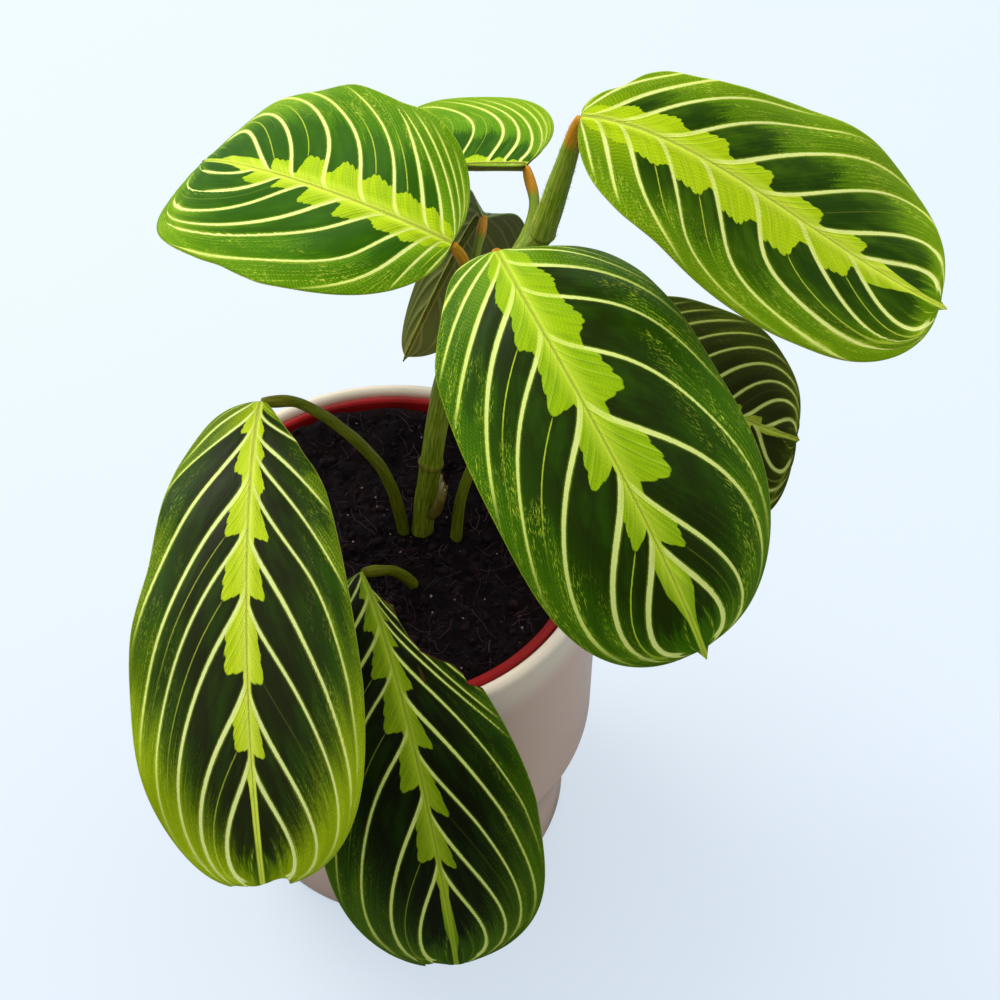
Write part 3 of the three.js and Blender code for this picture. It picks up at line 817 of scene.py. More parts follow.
def shape_stem(name, stem):
    """The mesh of a stem, with its path and radii."""
    path = list(stem["path"])
    if "end" in stem:
        back = (Vector(path[-1]) - Vector(stem["end"])).normalized()
        path.append(tuple(Vector(stem["end"]) + back * stem.get("gap", JOINT_GAP)))
    points, length = smooth_path(path, 0.7)
    radii = [stem_radius(stem, k / (len(points) - 1), length) for k in range(len(points))]
    bm = bmesh.new()
    grow_rod(bm, points, radii, length, STEM_SIDES)
    bmesh.ops.recalc_face_normals(bm, faces=bm.faces)
    place = bm.verts.layers.float_vector["stem"]
    bm.normal_update()
    for vertex in bm.verts:
        x, y, along = vertex[place]
        ribs = RIB_HEIGHT * math.cos(RIBS * math.atan2(y, x) + 0.02 * along)
        uneven = 0.16 * noise.noise((x * 0.9, y * 0.9, along * 0.16))
        vertex.co += vertex.normal * (ribs + uneven) * MM
    mesh = mesh_of(bm, name)
    along = read(mesh.attributes["stem"].data, "vector")[:, 2]
    joint = np.clip(1 - (length - along) / JOINT_LENGTH, 0, 1) if stem["joint"] else 0 * along
    age_and_shade = stem["age_and_shade"][0] + (stem["age_and_shade"][1] - stem["age_and_shade"][0]) * along / length
    ring = sum((np.exp(-((along - spot) / 0.8) ** 2) for spot in stem.get("rings", ())), 0 * along)
    write(mesh, "growth", np.column_stack([joint, age_and_shade, ring]))
    return mesh, points, radii


# %% [markdown]
# The skin of a stem is green with fine paler lines along it. It is olive and duller where it is
# old, and on the stalk of the right leaf, where that olive tone is painted shade. It is orange at
# the joint and brown on the rings.

# %% The skin of the stems
stem_skin, b, shader = finish("stem skin", tint(120, 143, 25), Roughness=0.42,
                              Specular_IOR_Level=0.15)
stem_place, growth = b.attribute("stem"), b.attribute("growth")
round_x, round_y, along = b.parts(stem_place)
joint, age_and_shade, ring = b.parts(growth)
drawn_out = b.vector(b.times(round_x, 3.0), b.times(round_y, 3.0), b.times(along, 0.05))
lines = b.noise(drawn_out, 3.2, 3.0, 0.6)
young = b.mix(b.rise(lines, 0.38, 0.66), tint(120, 158, 0), tint(188, 204, 80))
old_and_shaded = b.mix(b.rise(lines, 0.38, 0.66), tint(78, 84, 0), tint(126, 132, 14))
# Old skin is olive and dull; on the right leaf's stalk the same tone is painted shade.
shade = b.mix(age_and_shade, young, old_and_shaded)
cloud = b.rise(b.noise(b.place(), 130.0, 3.0), 0.4, 0.7)
shade = b.stain(shade, cloud, 0.3, tint(96, 128, 4))
warm = b.rise(b.plus(joint, b.times(b.minus(lines, 0.5), 0.3)), 0.02, 0.4)
warm = b.times(warm, b.ramp(age_and_shade, 0.3, 0.85, 0.9, 0.05))
orange = b.mix(b.rise(lines, 0.4, 0.6), tint(204, 124, 10), tint(240, 172, 48))
shade = b.mix(warm, shade, orange)
shade = b.stain(shade, ring, 0.6, tint(116, 84, 30))
spots = b.rise(b.cells(b.place(), 420.0), 0.28, 0.12)
spots = b.times(spots, b.rise(b.noise(b.place(), 90.0), 0.5, 0.62))
b.join(b.stain(shade, spots, 0.4, tint(84, 62, 20)), shader["Base Color"])
b.join(b.ramp(lines, 0.3, 0.7, 0.36, 0.52), shader["Roughness"])
b.join(b.bump(b.plus(lines, b.times(b.noise(b.place(), 1600.0), 0.3)), 0.0003, 0.6), shader["Normal"])

stem_paths = {}
for name, stem in stems.items():
    mesh, points, radii = shape_stem(name, stem)
    present(f"{name}_grown", mesh, [stem_skin], name)
    stem_paths[name] = (points, radii)

# %% [markdown]
# Short pale hairs stand on the stalk of the newest leaf and on the upper shoot. Each is a cone
# with three sides. They are made as mesh, because an exported model drops hair curves. Each
# stem with hairs has the share of its length where they start and end, and their number.

# %% The hairs
HAIRY = (("petiole_top_right", 0.0, 0.95, 520), ("main_shoot", 0.62, 1.0, 420))
HAIR_FOOT = 0.045 * MM
HAIR_TIP = 0.008 * MM

random.seed(5)
hairs = bmesh.new()
for name, start, end, count in HAIRY:
    points, radii = stem_paths[name]
    frames = frames_along(points)
    for _ in range(count):
        k = int((start + (end - start) * random.random()) * (len(points) - 1))
        turn = Matrix.Rotation(random.uniform(0, 2 * math.pi), 4, "Z")
        lean = Matrix.Rotation(math.radians(random.uniform(25, 65)), 4, "Y")
        long = random.uniform(0.35, 0.9) * MM
        out = Matrix.Translation((radii[k] * MM, 0, 0))
        rise = Matrix.Translation((0, 0, long / 2 - 0.05 * MM))
        bmesh.ops.create_cone(
            hairs, segments=3, radius1=HAIR_FOOT, radius2=HAIR_TIP, depth=long,
            cap_ends=True, matrix=frames[k] @ turn @ out @ lean @ rise,
        )
hair_finish = two_toned(
    "stem hairs", dict(Roughness=0.5), (206, 210, 160), ((214, 218, 172), (176, 178, 112)),
    (0.42, 0.6), Patch_scale=300.0, Patches=0.8)
present("stem_hairs", mesh_of(hairs, "stem_hairs"), [hair_finish])

# %% [markdown]
# Beside the shoot stands what is left of an old leaf's sheath: a dry, brownish gutter with a
# torn, paler top. A small grid is bent into a gutter round the path, its top is torn with
# noise, and a Solidify modifier makes it as thick as paper board.

# %% The old sheath
SHEATH_PATH = [(12.5, 8, 125), (15.3, 4.9, 133), (17.4, 4.3, 146)]
SHEATH_STEP = 0.6
SHEATH_THICKNESS = 0.6 * MM

sheath_frames = frames_along(smooth_path(SHEATH_PATH, SHEATH_STEP)[0])
sheath = bmesh.new()
bmesh.ops.create_grid(sheath, x_segments=18, y_segments=30, size=1)
for vertex in sheath.verts:
    u, v = vertex.co.x, (vertex.co.y + 1) / 2
    torn = 1 - 0.5 * abs(noise.noise((u * 4.2, 3.0, 0.0))) * v - 0.12 * abs(u) * v
    spot = v * torn * (len(sheath_frames) - 1)
    frame_here = sheath_frames[min(int(round(spot)), len(sheath_frames) - 1)]
    step_on = (spot - round(spot)) * SHEATH_STEP
    angle = u * math.radians(125 - 25 * v) + 2.2
    radius = 1.7 + 0.25 * v + 0.14 * noise.noise((u * 3, v * 4, 0.0))
    bent = Vector((radius * math.cos(angle), radius * math.sin(angle), step_on))
    vertex.co = frame_here @ (bent * MM)
sheath_finish, b, shader = finish("dry sheath", tint(150, 128, 70), Roughness=0.7)
where = b.place()
tone = mottled(b, where, tint(104, 92, 14), tint(164, 146, 60), Patch_scale=240.0, Grain_scale=1500.0,
               Patches=0.8, Grain=0.5)
top = b.rise(b.parts(where)[2], 0.138, 0.145)
b.join(b.stain(tone["Colour"], top, 0.6, tint(206, 192, 150)), shader["Base Color"])
b.join(b.ramp(tone["Grain"], 0.3, 0.7, 0.6, 0.85), shader["Roughness"])
b.join(b.bump(b.noise(where, 1100.0, 4.0), 0.0003, 0.7), shader["Normal"])
piece = present("old_sheath_dry", mesh_of(sheath, "old_sheath"), [sheath_finish],
                "old_sheath")
paper = piece.modifiers.new("thickness", "SOLIDIFY")
paper.thickness = SHEATH_THICKNESS
paper.offset = -1

# %% [markdown]
# ## The blades
# A blade of this plant is a thin sheet on a midrib, and its two halves differ. The table has
# the same sizes as the solids have: four points of the midrib, the way the blade faces, and for
# each half its width, where it is broadest, how full it is before and after that, how it folds
# and curls, how far it sweeps back and ahead, and its waves. To these it adds what only shows
# close up: where the side veins leave the midrib, the course of some of them, how wide the pale
# band and the dark blotches are, and where the margin is trimmed, bitten or torn.
#
# Below, t goes from 0 at the base of a blade to 1 at its tip, and a from 0 at the midrib to 1
# at the margin. band and trim are pairs of t and a, and neck is pairs of t and the share of the
# band that is left between two lobes. dark_from has the number of the vein, left and right, at
# which the dark blotches begin. tip is the share of the length that the thin point takes. end
# is the t at which a blade that has lost its point stops, and nick is a notch beside it: its
# place and breadth in a, and its depth in t.

# %% The leaves
Half = namedtuple(
    "Half", "width broad fullness bends sweep wave veins courses band neck reach "
    "base_taper trim torn nick",
    defaults=(0.5, ((0, 1), (1, 1)), False, (0.5, 0.3, 0)))
even_courses = ((0, 0.22, 0.3, 3), (1, 0.22, 0.3, 3))
leaves = {
    "top_right": dict(
        rib=[(49, 4, 265), (74, -1, 267), (106, -8, 235), (133, -14, 225)],
        face=(0.1, -0.3, 0.95), tip=0.05, dark_from=(2, 3),
        left=Half(32, 0.65, (1.4, 3), (0, -10), (4, 2), (1.2, 3.2, 0.1),
                  (-0.17, -0.07, 0.03, 0.12, 0.235, 0.37, 0.5, 0.645, 0.76),
                  ((0.03, 0.232, 0.146, 4), (0.12, 0.239, 0.25, 4), (0.235, 0.286, 0.195, 4),
                   (0.37, 0.305, 0.2, 4), (0.5, 0.369, 0.088, 4), (0.645, 0.437, -0.056, 4),
                   (0.76, 0.5, -0.1, 4)),
                  ((0, 0.32), (0.2, 0.3), (0.34, 0.28), (0.47, 0.22), (0.62, 0.16), (0.73, 0.16),
                   (0.84, 0.07), (1, 0.02)),
                  ((0, 0.9), (0.25, 0.75), (0.38, 0.6), (0.5, 0.4), (0.64, 0.35), (1, 0.3)), 0.62,
                  trim=((0, 0.62), (0.1, 0.64), (0.15, 0.87), (0.2, 0.94), (0.27, 0.86), (0.35, 0.85),
                        (0.42, 0.89), (0.5, 0.97), (0.6, 1), (0.8, 1), (0.93, 0.92), (1, 0.9))),
        right=Half(29, 0.6, (1.7, 2.8), (0, -5), (4, 2), (0.7, 2.5, 0.6),
                   (-0.13, -0.04, 0.045, 0.115, 0.225, 0.345, 0.475, 0.605, 0.74),
                   ((0.045, 0.11, 0.03, 4), (0.115, 0.145, 0.15, 6), (0.225, 0.17, 0.34, 13),
                    (0.345, 0.18, 0.73, 10), (0.475, 0.12, 2.2, 6.8), (0.605, 0.06, 0.44, 1.6),
                    (0.74, 0.1, 0.35, 1.5)),
                   ((0, 0.33), (0.16, 0.33), (0.3, 0.36), (0.57, 0.37), (0.7, 0.25), (0.83, 0.13),
                    (0.9, 0.04), (1, 0.02)),
                   ((0, 0.9), (0.2, 0.8), (0.35, 0.6), (0.48, 0.7), (0.6, 0.5), (1, 0.4)), 0.75,
                   trim=((0, 1.05), (0.2, 1.05), (0.3, 1), (0.62, 0.99), (0.7, 0.95), (0.8, 0.91),
                         (0.9, 0.87), (1, 0.82))),
    ),
    "top_left": dict(
        rib=[(20, 14, 220), (-2, 22, 227), (-33, 44, 222), (-50, 76, 195)],
        face=(-0.1, -0.3, 0.95), tip=0.04, dark_from=(2, 2),
        left=Half(32, 0.7, (1.7, 4), (0, -15), (5, -1), (0.8, 2.2, 0.3),
                  (-0.05, 0.03, 0.07, 0.13, 0.245, 0.375, 0.51, 0.6, 0.7),
                  ((0.04, 0.1, 0, 4), (0.07, 0.14, 0.13, 7), (0.13, 0.22, 1.8, 9),
                   (0.245, 0.3, 1.6, 4.5), (0.375, 0.28, 1.3, 4), (0.51, 0.3, 1.6, 4), (0.6, 0.3, 6, 3.8),
                   (0.7, 0.5, 200, 4)),
                  ((0, 0.29), (0.15, 0.28), (0.24, 0.21), (0.33, 0.23), (0.47, 0.2), (0.55, 0.12),
                   (0.68, 0.17), (0.75, 0.05), (0.82, 0.02), (1, 0.01)),
                  ((0, 0.9), (0.2, 0.8), (0.36, 0.35), (0.5, 0.15), (0.6, 0.3), (0.72, 0.2),
                   (1, 0.3)), 0.66,
                  trim=((0, 1), (0.45, 0.98), (0.6, 0.88), (0.9, 0.87), (1, 0.9))),
        right=Half(31.5, 0.55, (2.2, 5), (5, -10), (5, 6), (0.9, 3, 0.5),
                   (-0.12, -0.04, 0.04, 0.095, 0.205, 0.32, 0.455, 0.57, 0.66),
                   ((0.04, 0.1, 0.32, 3), (0.095, 0.18, 0.16, 3), (0.205, 0.17, 0.28, 4),
                    (0.32, 0.18, 0.42, 4), (0.455, 0.1, 0.5, 3.5), (0.57, 0.12, 0.62, 2.5),
                    (0.66, 0.32, 0.3, 1.5)),
                   ((0, 0.33), (0.11, 0.32), (0.17, 0.28), (0.4, 0.3), (0.52, 0.26), (0.62, 0.14),
                    (0.74, 0.1), (0.82, 0.09), (0.87, 0.03), (1, 0.01)),
                   ((0, 0.9), (0.2, 0.8), (0.33, 0.7), (0.45, 0.55), (0.56, 0.2), (0.66, 0.1),
                    (1, 0.2)), 0.66,
                   trim=((0, 1), (0.15, 1.06), (0.3, 1.04), (0.4, 1), (0.58, 1), (0.7, 0.94),
                         (0.85, 0.88), (1, 0.9))),
    ),
    "back": dict(
        rib=[(38, 42, 221), (20, 50, 215), (-5, 70, 197), (-20, 85, 180)],
        face=(0, -0.3, 1), tip=0.05, dark_from=(9, 0),
        left=Half(22, 0.5, (2, 2.4), (50, 0), (4, 0), (0, 1, 0),
                  (-0.1, 0, 0.1, 0.21, 0.33, 0.46, 0.6, 0.73, 0.85), even_courses,
                  ((0, 0.1), (0.5, 0.12), (1, 0.1)), ((0, 0.4), (1, 0.2)), 0.1),
        right=Half(25.5, 0.5, (2, 2.4), (5, -10), (20, 0), (0.6, 2, 0),
                   (-0.05, 0.05, 0.12, 0.19, 0.315, 0.47, 0.6, 0.72, 0.84),
                   ((0, -0.02, 0.45, 4), (1, -0.02, 0.45, 4)),
                   ((0, 0.1), (0.5, 0.2), (1, 0.15)), ((0, 0.5), (1, 0.2)), 0.5),
    ),
    "centre": dict(
        rib=[(31, -8, 237), (36, -32, 245), (61, -71, 228), (76, -86, 190)],
        face=(-0.05, -0.45, 0.9), tip=0.05, dark_from=(2, 2),
        left=Half(35, 0.64, (2.9, 2.6), (-12, -25), (15, 7), (0.8, 3, 0.2),
                  (-0.12, -0.03, 0.085, 0.205, 0.35, 0.515, 0.68, 0.8),
                  ((0.085, 0.16, 0.19, 7), (0.205, 0.18, 0.22, 5.5), (0.35, 0.205, 0.36, 4),
                   (0.515, 0.254, 0.21, 4), (0.68, 0.38, -0.08, 4), (0.8, 0.33, 0, 4)),
                  ((0, 0.3), (0.48, 0.3), (0.65, 0.32), (0.78, 0.19), (0.87, 0.15), (0.92, 0.06),
                   (1, 0.03)),
                  ((0, 0.9), (0.24, 0.85), (0.36, 0.67), (0.51, 0.4), (0.68, 0.24), (0.82, 0.12),
                   (1, 0.1)), 0.85, trim=((0, 1.14), (0.1, 1.12), (0.2, 1.05), (0.3, 1), (1, 1))),
        right=Half(28.5, 0.65, (2.2, 3), (0, -12), (13, 7), (0.6, 2, 0),
                   (-0.12, -0.03, 0.065, 0.18, 0.33, 0.5, 0.655, 0.775),
                   ((0.065, 0.337, 0.026, 4), (0.18, 0.289, 0.167, 4), (0.33, 0.253, 0.217, 4),
                    (0.5, 0.26, 0.237, 4), (0.655, 0.3, 0.158, 4), (0.775, 0.28, 0.1, 4)),
                   ((0, 0.27), (0.47, 0.27), (0.63, 0.26), (0.75, 0.19), (0.86, 0.15), (0.92, 0.05),
                    (1, 0.03)),
                   ((0, 0.95), (0.22, 0.95), (0.34, 0.62), (0.49, 0.22), (0.65, 0.1), (1, 0.1)), 0.85,
                   trim=((0, 0.8), (0.15, 0.81), (0.2, 0.86), (0.25, 0.93), (0.3, 1), (1, 1))),
    ),
    "right": dict(
        rib=[(52, 22, 161), (76, 24, 163), (98, 22, 148), (114, 18, 145)],
        face=(0.1, -0.6, 0.8), tip=0.05, dark_from=(0, 0),
        left=Half(28, 0.45, (2.2, 2.2), (0, -10), (4, 0), (1, 3, 0.3),
                  (-0.1, 0.0, 0.11, 0.23, 0.35, 0.47, 0.59, 0.71, 0.83), even_courses,
                  ((0, 0.2), (0.5, 0.2), (0.8, 0.1), (1, 0.02)), ((0, 0.4), (1, 0.1)), 0.95),
        right=Half(27, 0.7, (2, 4), (0, -10), (4, 7), (0.8, 3, 0),
                   (-0.1, 0.01, 0.12, 0.25, 0.38, 0.52, 0.65, 0.78), even_courses,
                   ((0, 0.2), (0.5, 0.2), (0.8, 0.1), (1, 0.02)), ((0, 0.4), (1, 0.1)), 0.95),
    ),
    "hanging": dict(
        rib=[(27, 60, 188), (28, 84, 178), (14, 90, 140), (1, 82, 111)],
        face=(0, 1, 0.3), tip=0.05, dark_from=(0, 0),
        left=Half(10, 0.5, (2, 2.4), (60, 0), (0, 0), (0, 1, 0),
                  (-0.1, 0.05, 0.18, 0.32, 0.46, 0.6, 0.74, 0.87), even_courses,
                  ((0, 0.22), (1, 0.02)), ((0, 0.5), (1, 0.1)), 0.8),
        right=Half(20, 0.5, (1.3, 2.4), (0, 0), (0, 0), (0.6, 2, 0),
                   (-0.1, 0.04, 0.17, 0.3, 0.44, 0.58, 0.72, 0.86), even_courses,
                   ((0, 0.22), (1, 0.02)), ((0, 0.5), (1, 0.1)), 0.8, base_taper=0.8),
    ),
    "front_left": dict(
        rib=[(-31, 9, 170), (-31, -30, 180), (-29, -80, 155), (-25, -106, 120)],
        face=(0, -0.4, 0.9), tip=0.03, end=0.98, dark_from=(0.7, 1),
        left=Half(27.5, 0.65, (1.3, 3), (0, -15), (0, 4), (0.7, 2.5, 0),
                  (-0.06, 0.05, 0.12, 0.17, 0.25, 0.375, 0.505, 0.665, 0.79),
                  ((0.05, 0.1, 0, 3), (0.12, 0.12, 0.06, 3), (0.17, 0.2, 0.1, 4),
                   (0.25, 0.28, 0.5, 9), (0.375, 0.25, 0.28, 2.5), (0.505, 0.28, 0.2, 2.5),
                   (0.665, 0.38, -0.04, 2.5), (0.79, 0.3, 0, 2.5)),
                  ((0, 0.17), (0.15, 0.2), (0.24, 0.19), (0.34, 0.25), (0.475, 0.18), (0.62, 0.14),
                   (0.745, 0.13), (0.8, 0.04), (0.87, 0.05), (1, 0.02)),
                  ((0, 0.8), (0.25, 0.75), (0.36, 0.3), (0.5, 0.15), (0.76, 0.08), (1, 0.3)), 0.95,
                  trim=((0, 0.5), (0.05, 0.56), (0.1, 0.68), (0.13, 0.79), (0.16, 0.82), (0.19, 0.93),
                        (0.24, 1), (1, 1)), nick=(0.45, 0.3, 0.012)),
        right=Half(29.5, 0.6, (1.6, 2.4), (0, -15), (0, 3), (1.1, 4, 0.2),
                   (-0.05, 0.03, 0.09, 0.24, 0.355, 0.48, 0.645, 0.775),
                   ((0.03, 0.16, 0.1, 10), (0.09, 0.3, 0.2, 5), (0.24, 0.24, 0.3, 3.2),
                    (0.355, 0.22, 0.34, 2.5), (0.48, 0.25, 0.34, 2.3), (0.645, 0.25, 0.2, 2),
                    (0.775, 0.25, 0.2, 2)),
                   ((0, 0.25), (0.1, 0.24), (0.17, 0.2), (0.3, 0.22), (0.45, 0.22), (0.585, 0.19),
                    (0.725, 0.14), (0.8, 0.04), (1, 0.02)),
                   ((0, 0.6), (0.24, 0.45), (0.35, 0.35), (0.47, 0.25), (0.735, 0.12), (1, 0.3)), 0.95,
                   trim=((0, 1.04), (0.12, 1.03), (0.17, 1), (0.22, 0.955), (0.3, 0.94), (0.4, 0.925),
                         (0.46, 0.955), (0.52, 0.99), (0.6, 1), (1, 1)), nick=(0.9, 0.3, 0.006)),
    ),
    "front": dict(
        rib=[(-5, -20, 135), (5, -55, 150), (15, -85, 125), (20, -98, 60)],
        face=(0.1, -0.5, 0.8), tip=0.03, end=0.985, dark_from=(0, 0),
        left=Half(28.5, 0.72, (1.3, 4.5), (0, -15), (0, 4), (0.8, 3, 0.4),
                  (-0.05, 0.03, 0.1, 0.17, 0.27, 0.405, 0.545, 0.685, 0.8),
                  ((0.1, 0.42, 0, 3), (0.17, 0.36, 0.03, 3), (0.27, 0.34, 0.25, 4),
                   (0.405, 0.3, 0.26, 2.3), (0.545, 0.36, 0.16, 2.5), (0.685, 0.4, -0.03, 2),
                   (0.8, 0.34, -0.03, 2)),
                  ((0, 0.18), (0.38, 0.18), (0.5, 0.2), (0.65, 0.19), (0.78, 0.16), (0.84, 0.05),
                   (0.93, 0.1), (0.97, 0.03), (1, 0.02)),
                  ((0, 0.7), (0.41, 0.4), (0.53, 0.22), (0.67, 0.1), (1, 0.1)), 0.95, base_taper=0.85,
                  trim=((0, 0.1), (0.08, 0.12), (0.1, 0.2), (0.12, 0.3), (0.15, 0.52), (0.17, 0.44),
                        (0.2, 0.4), (0.25, 0.42), (0.3, 0.5), (0.33, 0.66), (0.35, 0.82),
                        (0.38, 0.87), (0.41, 0.86), (0.425, 1), (1, 1)), torn=True),
        right=Half(29, 0.65, (1.5, 3), (0, -15), (0, 3), (0.8, 3, 0),
                   (-0.1, 0, 0.1, 0.22, 0.345, 0.495, 0.64, 0.79),
                   ((0, 0.24, 0.3, 5), (0.345, 0.2, 0.3, 3.5), (0.5, 0.2, 0.33, 2.8),
                    (0.64, 0.22, 0.26, 2), (0.79, 0.24, 0.16, 2)),
                   ((0, 0.22), (0.32, 0.26), (0.46, 0.24), (0.6, 0.2), (0.745, 0.19), (0.82, 0.06),
                    (0.9, 0.1), (0.95, 0.03), (1, 0.02)),
                   ((0, 0.7), (0.47, 0.3), (0.6, 0.15), (1, 0.1)), 0.95, nick=(0.7, 0.4, 0.014)),
    ),
}
print("leaves:", ", ".join(leaves))

# %% [markdown]
# The form of a blade is worked out for whole arrays of points at once. The midrib is a cubic
# curve. A half leaves it square to the curve, at its own fold, and bends evenly to the margin
# by its curl. It could be sculpted by hand, but a rule with a few sizes keeps the fine blade
# and its solid the same.

# %% The form of a blade
NO_CURL = 1e-6
NARROWEST = 0.004
POINT_WIDTH = 0.1


def unit(vectors):
    return vectors / np.linalg.norm(vectors, axis=-1, keepdims=True)


def rib_at(rib, t):
    """Points and directions of a cubic curve at each t."""
    a, b, c, d = np.array(rib, float)
    t = t[..., None]
    point = (1 - t) ** 3 * a + 3 * (1 - t) ** 2 * t * b + 3 * (1 - t) * t * t * c + t ** 3 * d
    along = (1 - t) ** 2 * (b - a) + 2 * (1 - t) * t * (c - b) + t * t * (d - c)
    return point, unit(along)


def half_width(side, tip, t):
    """The width of a half at each t, as a share of its greatest width."""
    body = np.clip(t / (1 - 0.45 * tip), 0, 1)
    broad = side.broad
    before = body < broad
    away = np.where(before, (broad - body) / broad, (body - broad) / (1 - broad))
    fullness = np.where(before, *side.fullness)
    taper = np.where(before, side.base_taper, 0.5)
    share = np.clip(1 - away ** fullness, 0, 1) ** taper
    point = np.where(t > 0.5, POINT_WIDTH * np.minimum(1, (1 - t) / tip), 0)
    return np.maximum(np.maximum(share, point), NARROWEST)


def half_form(leaf, key, a, t):
    """Points of the middle surface of a half, the direction square to it, and its width in mm."""
    side, sign = leaf[key], 1 if key == "right" else -1
    rib, along = rib_at(leaf["rib"], t)
    face = unit(np.array(leaf["face"], float))
    up = unit(face - (along @ face)[..., None] * along)
    across = np.cross(along, up)
    share = half_width(side, leaf["tip"], t)
    width = side.width * share
    fold, curl = math.radians(side.bends[0]), math.radians(side.bends[1]) or NO_CURL
    angle = fold + curl * a
    reach = sign * width * (np.sin(angle) - math.sin(fold)) / curl
    back, ahead = side.sweep
    height, count, phase = side.wave
    wave = height * a * a * np.sin(2 * np.pi * (count * t + phase)) * np.minimum(1, 2 * share)
    rise = width * (math.cos(fold) - np.cos(angle)) / curl + wave
    sweep = (ahead * t ** 6 - back * (1 - t) ** 4) * share * a
    point = rib + reach[..., None] * across + rise[..., None] * up + sweep[..., None] * along
    normal = np.cos(angle)[..., None] * up - sign * np.sin(angle)[..., None] * across
    return point, normal, width


# %% [markdown]
# All the markings follow the side veins, so each point of a blade is told where it lies among
# them: the number of the vein, which grows from base to tip and is whole on a vein, the way
# along the vein in millimetres, and the distance from one vein to the next. A vein that leaves
# the midrib at a start has moved on to the tip by lean x a + bend x a ^ turn where it is a of
# the way to the margin. The table gives lean, bend and turn for some starts, and the veins
# between them blend. The map of a half is laid out on a grid of courses and rows, and read
# back at each point of the mesh. The veins of a left half have 60 added to their numbers, so
# that no two halves share their random values.

# %% The map of the veins
ROWS = 200
COLUMNS = 116
CROWDING = 1.4
VEIN_JOIN = 0.03
JOIN_REACH = 0.07
STARTS = np.linspace(-0.7, 1.15, 300)
LEFT_NUMBERS = 60
BLUR = 6


def vein_map(leaf, key, shares, rows):
    """Number, way along and spacing of the veins, for each row t and each share of the half.

    Before its first vein and past its last one, a half's numbers run on at an even pace.
    """
    side = leaf[key]
    known, *values = zip(*side.courses)
    lean, bend, turn = (np.interp(STARTS, known, value) for value in values)
    a = shares[:, None]
    path = STARTS + lean * a + bend * a ** turn - VEIN_JOIN * np.exp(-a / JOIN_REACH)
    path = np.maximum.accumulate(path, axis=1) + 1e-6 * np.arange(len(STARTS))
    spread = np.broadcast_to(a, path.shape)
    places, _, _ = half_form(leaf, key, spread, np.clip(path, 0, 1))
    steps = np.diff(places, axis=0)
    lengths = np.vstack([np.zeros(path.shape[1]), np.cumsum(np.linalg.norm(steps, axis=2), axis=0)])
    starts = side.veins
    ends = [starts[0] - 0.6, *starts, 1.3]
    numbers = [-6, *range(len(starts)), len(starts) - 0.1]
    number = np.interp(STARTS, ends, numbers)
    way = unit(np.concatenate([steps, steps[-1:]]) + 1e-9)
    apart = np.gradient(places, axis=1)
    apart = apart - np.sum(apart * way, axis=2, keepdims=True) * way
    spacing = np.linalg.norm(apart, axis=2) / np.gradient(number)
    result = np.zeros((len(rows), len(shares), 3))
    for column in range(len(shares)):
        start = np.interp(rows, path[column], STARTS)
        result[:, column, 0] = np.interp(start, ends, numbers)
        result[:, column, 1] = np.interp(start, STARTS, lengths[column])
        result[:, column, 2] = np.interp(start, STARTS, spacing[column])
    result[..., 0] += LEFT_NUMBERS * (key == "left")
    return result


def trimmed(side, rows):
    """How far the margin reaches at each row, as a share of the plain half."""
    reach = np.interp(rows, *zip(*side.trim))
    if side.torn:
        return reach
    window = np.hanning(2 * BLUR + 1)
    return np.convolve(np.pad(reach, BLUR, mode="edge"), window / window.sum(), mode="valid")


print("points of a blade:", (ROWS + 1) * (COLUMNS + 1))


# %% [markdown]
# A blade starts as a flat grid from the grid operator. Its vertices are then moved onto the
# form. Between two side veins the blade bulges a little, like a quilt, and the veins lie in the
# creases. The sheet is thin, so a Solidify modifier gives it its thickness: 0.4 mm, and more
# under the midrib and the veins, which stand out on the lower face. The modifier also gives the
# lower face its own material.

# %% Shape a blade
QUILT = 0.45
PLEATS = 0.08
SWELL = 0.2
SHEET = 0.4
KEEL = 1.3
LEVELS = 20


def shape_half(leaf, key, rows, shares):
    """All that is known of each point of a half, by row and column."""
    side = leaf[key]
    cut = trimmed(side, rows)
    grid = vein_map(leaf, key, shares, rows)
    a = shares * cut[:, None]
    veins = np.stack([
        [np.interp(a[row], shares, grid[row, :, part]) for row in range(len(rows))]
        for part in range(3)
    ], axis=-1)
    place, breadth, depth = side.nick
    nick = depth * np.exp(-((shares - place) / breadth) ** 2)
    t = rows[:, None] - nick * np.clip(1 - (rows[-1] - rows[:, None]) / 0.03, 0, 1)
    point, normal, width = half_form(leaf, key, a, t)
    wide = np.interp(t, *zip(*side.band))
    neck = wide * np.interp(t, *zip(*side.neck))
    reach = np.full_like(wide, side.reach)
    from_rib = a * width
    to_margin = (cut[:, None] - a) * width
    dry = np.zeros_like(a)
    if side.torn:  # a torn margin dries brown, most where it is rough, and round one small hole
        rough = np.abs(np.gradient(cut, rows))[:, None]
        dry = np.exp(-to_margin / 0.7) * (0.35 + np.clip(rough / 6, 0, 0.65))
        dry = dry * ((t > 0.12) & (t < 0.44))
        dry = np.maximum(dry, np.exp(-((a - 0.35) / 0.02) ** 2 - ((t - 0.36) / 0.03) ** 2))
    first = leaf["dark_from"][key == "right"] + LEFT_NUMBERS * (key == "left")
    begun = np.clip((veins[..., 0] - first) / 0.05, 0, 1)
    return dict(point=point, normal=normal, width=width, veins=veins,
                blade=np.stack([t, a, from_rib], axis=-1),
                limits=np.stack([wide, neck, reach], axis=-1),
                edges=np.stack([to_margin, dry, begun], axis=-1))


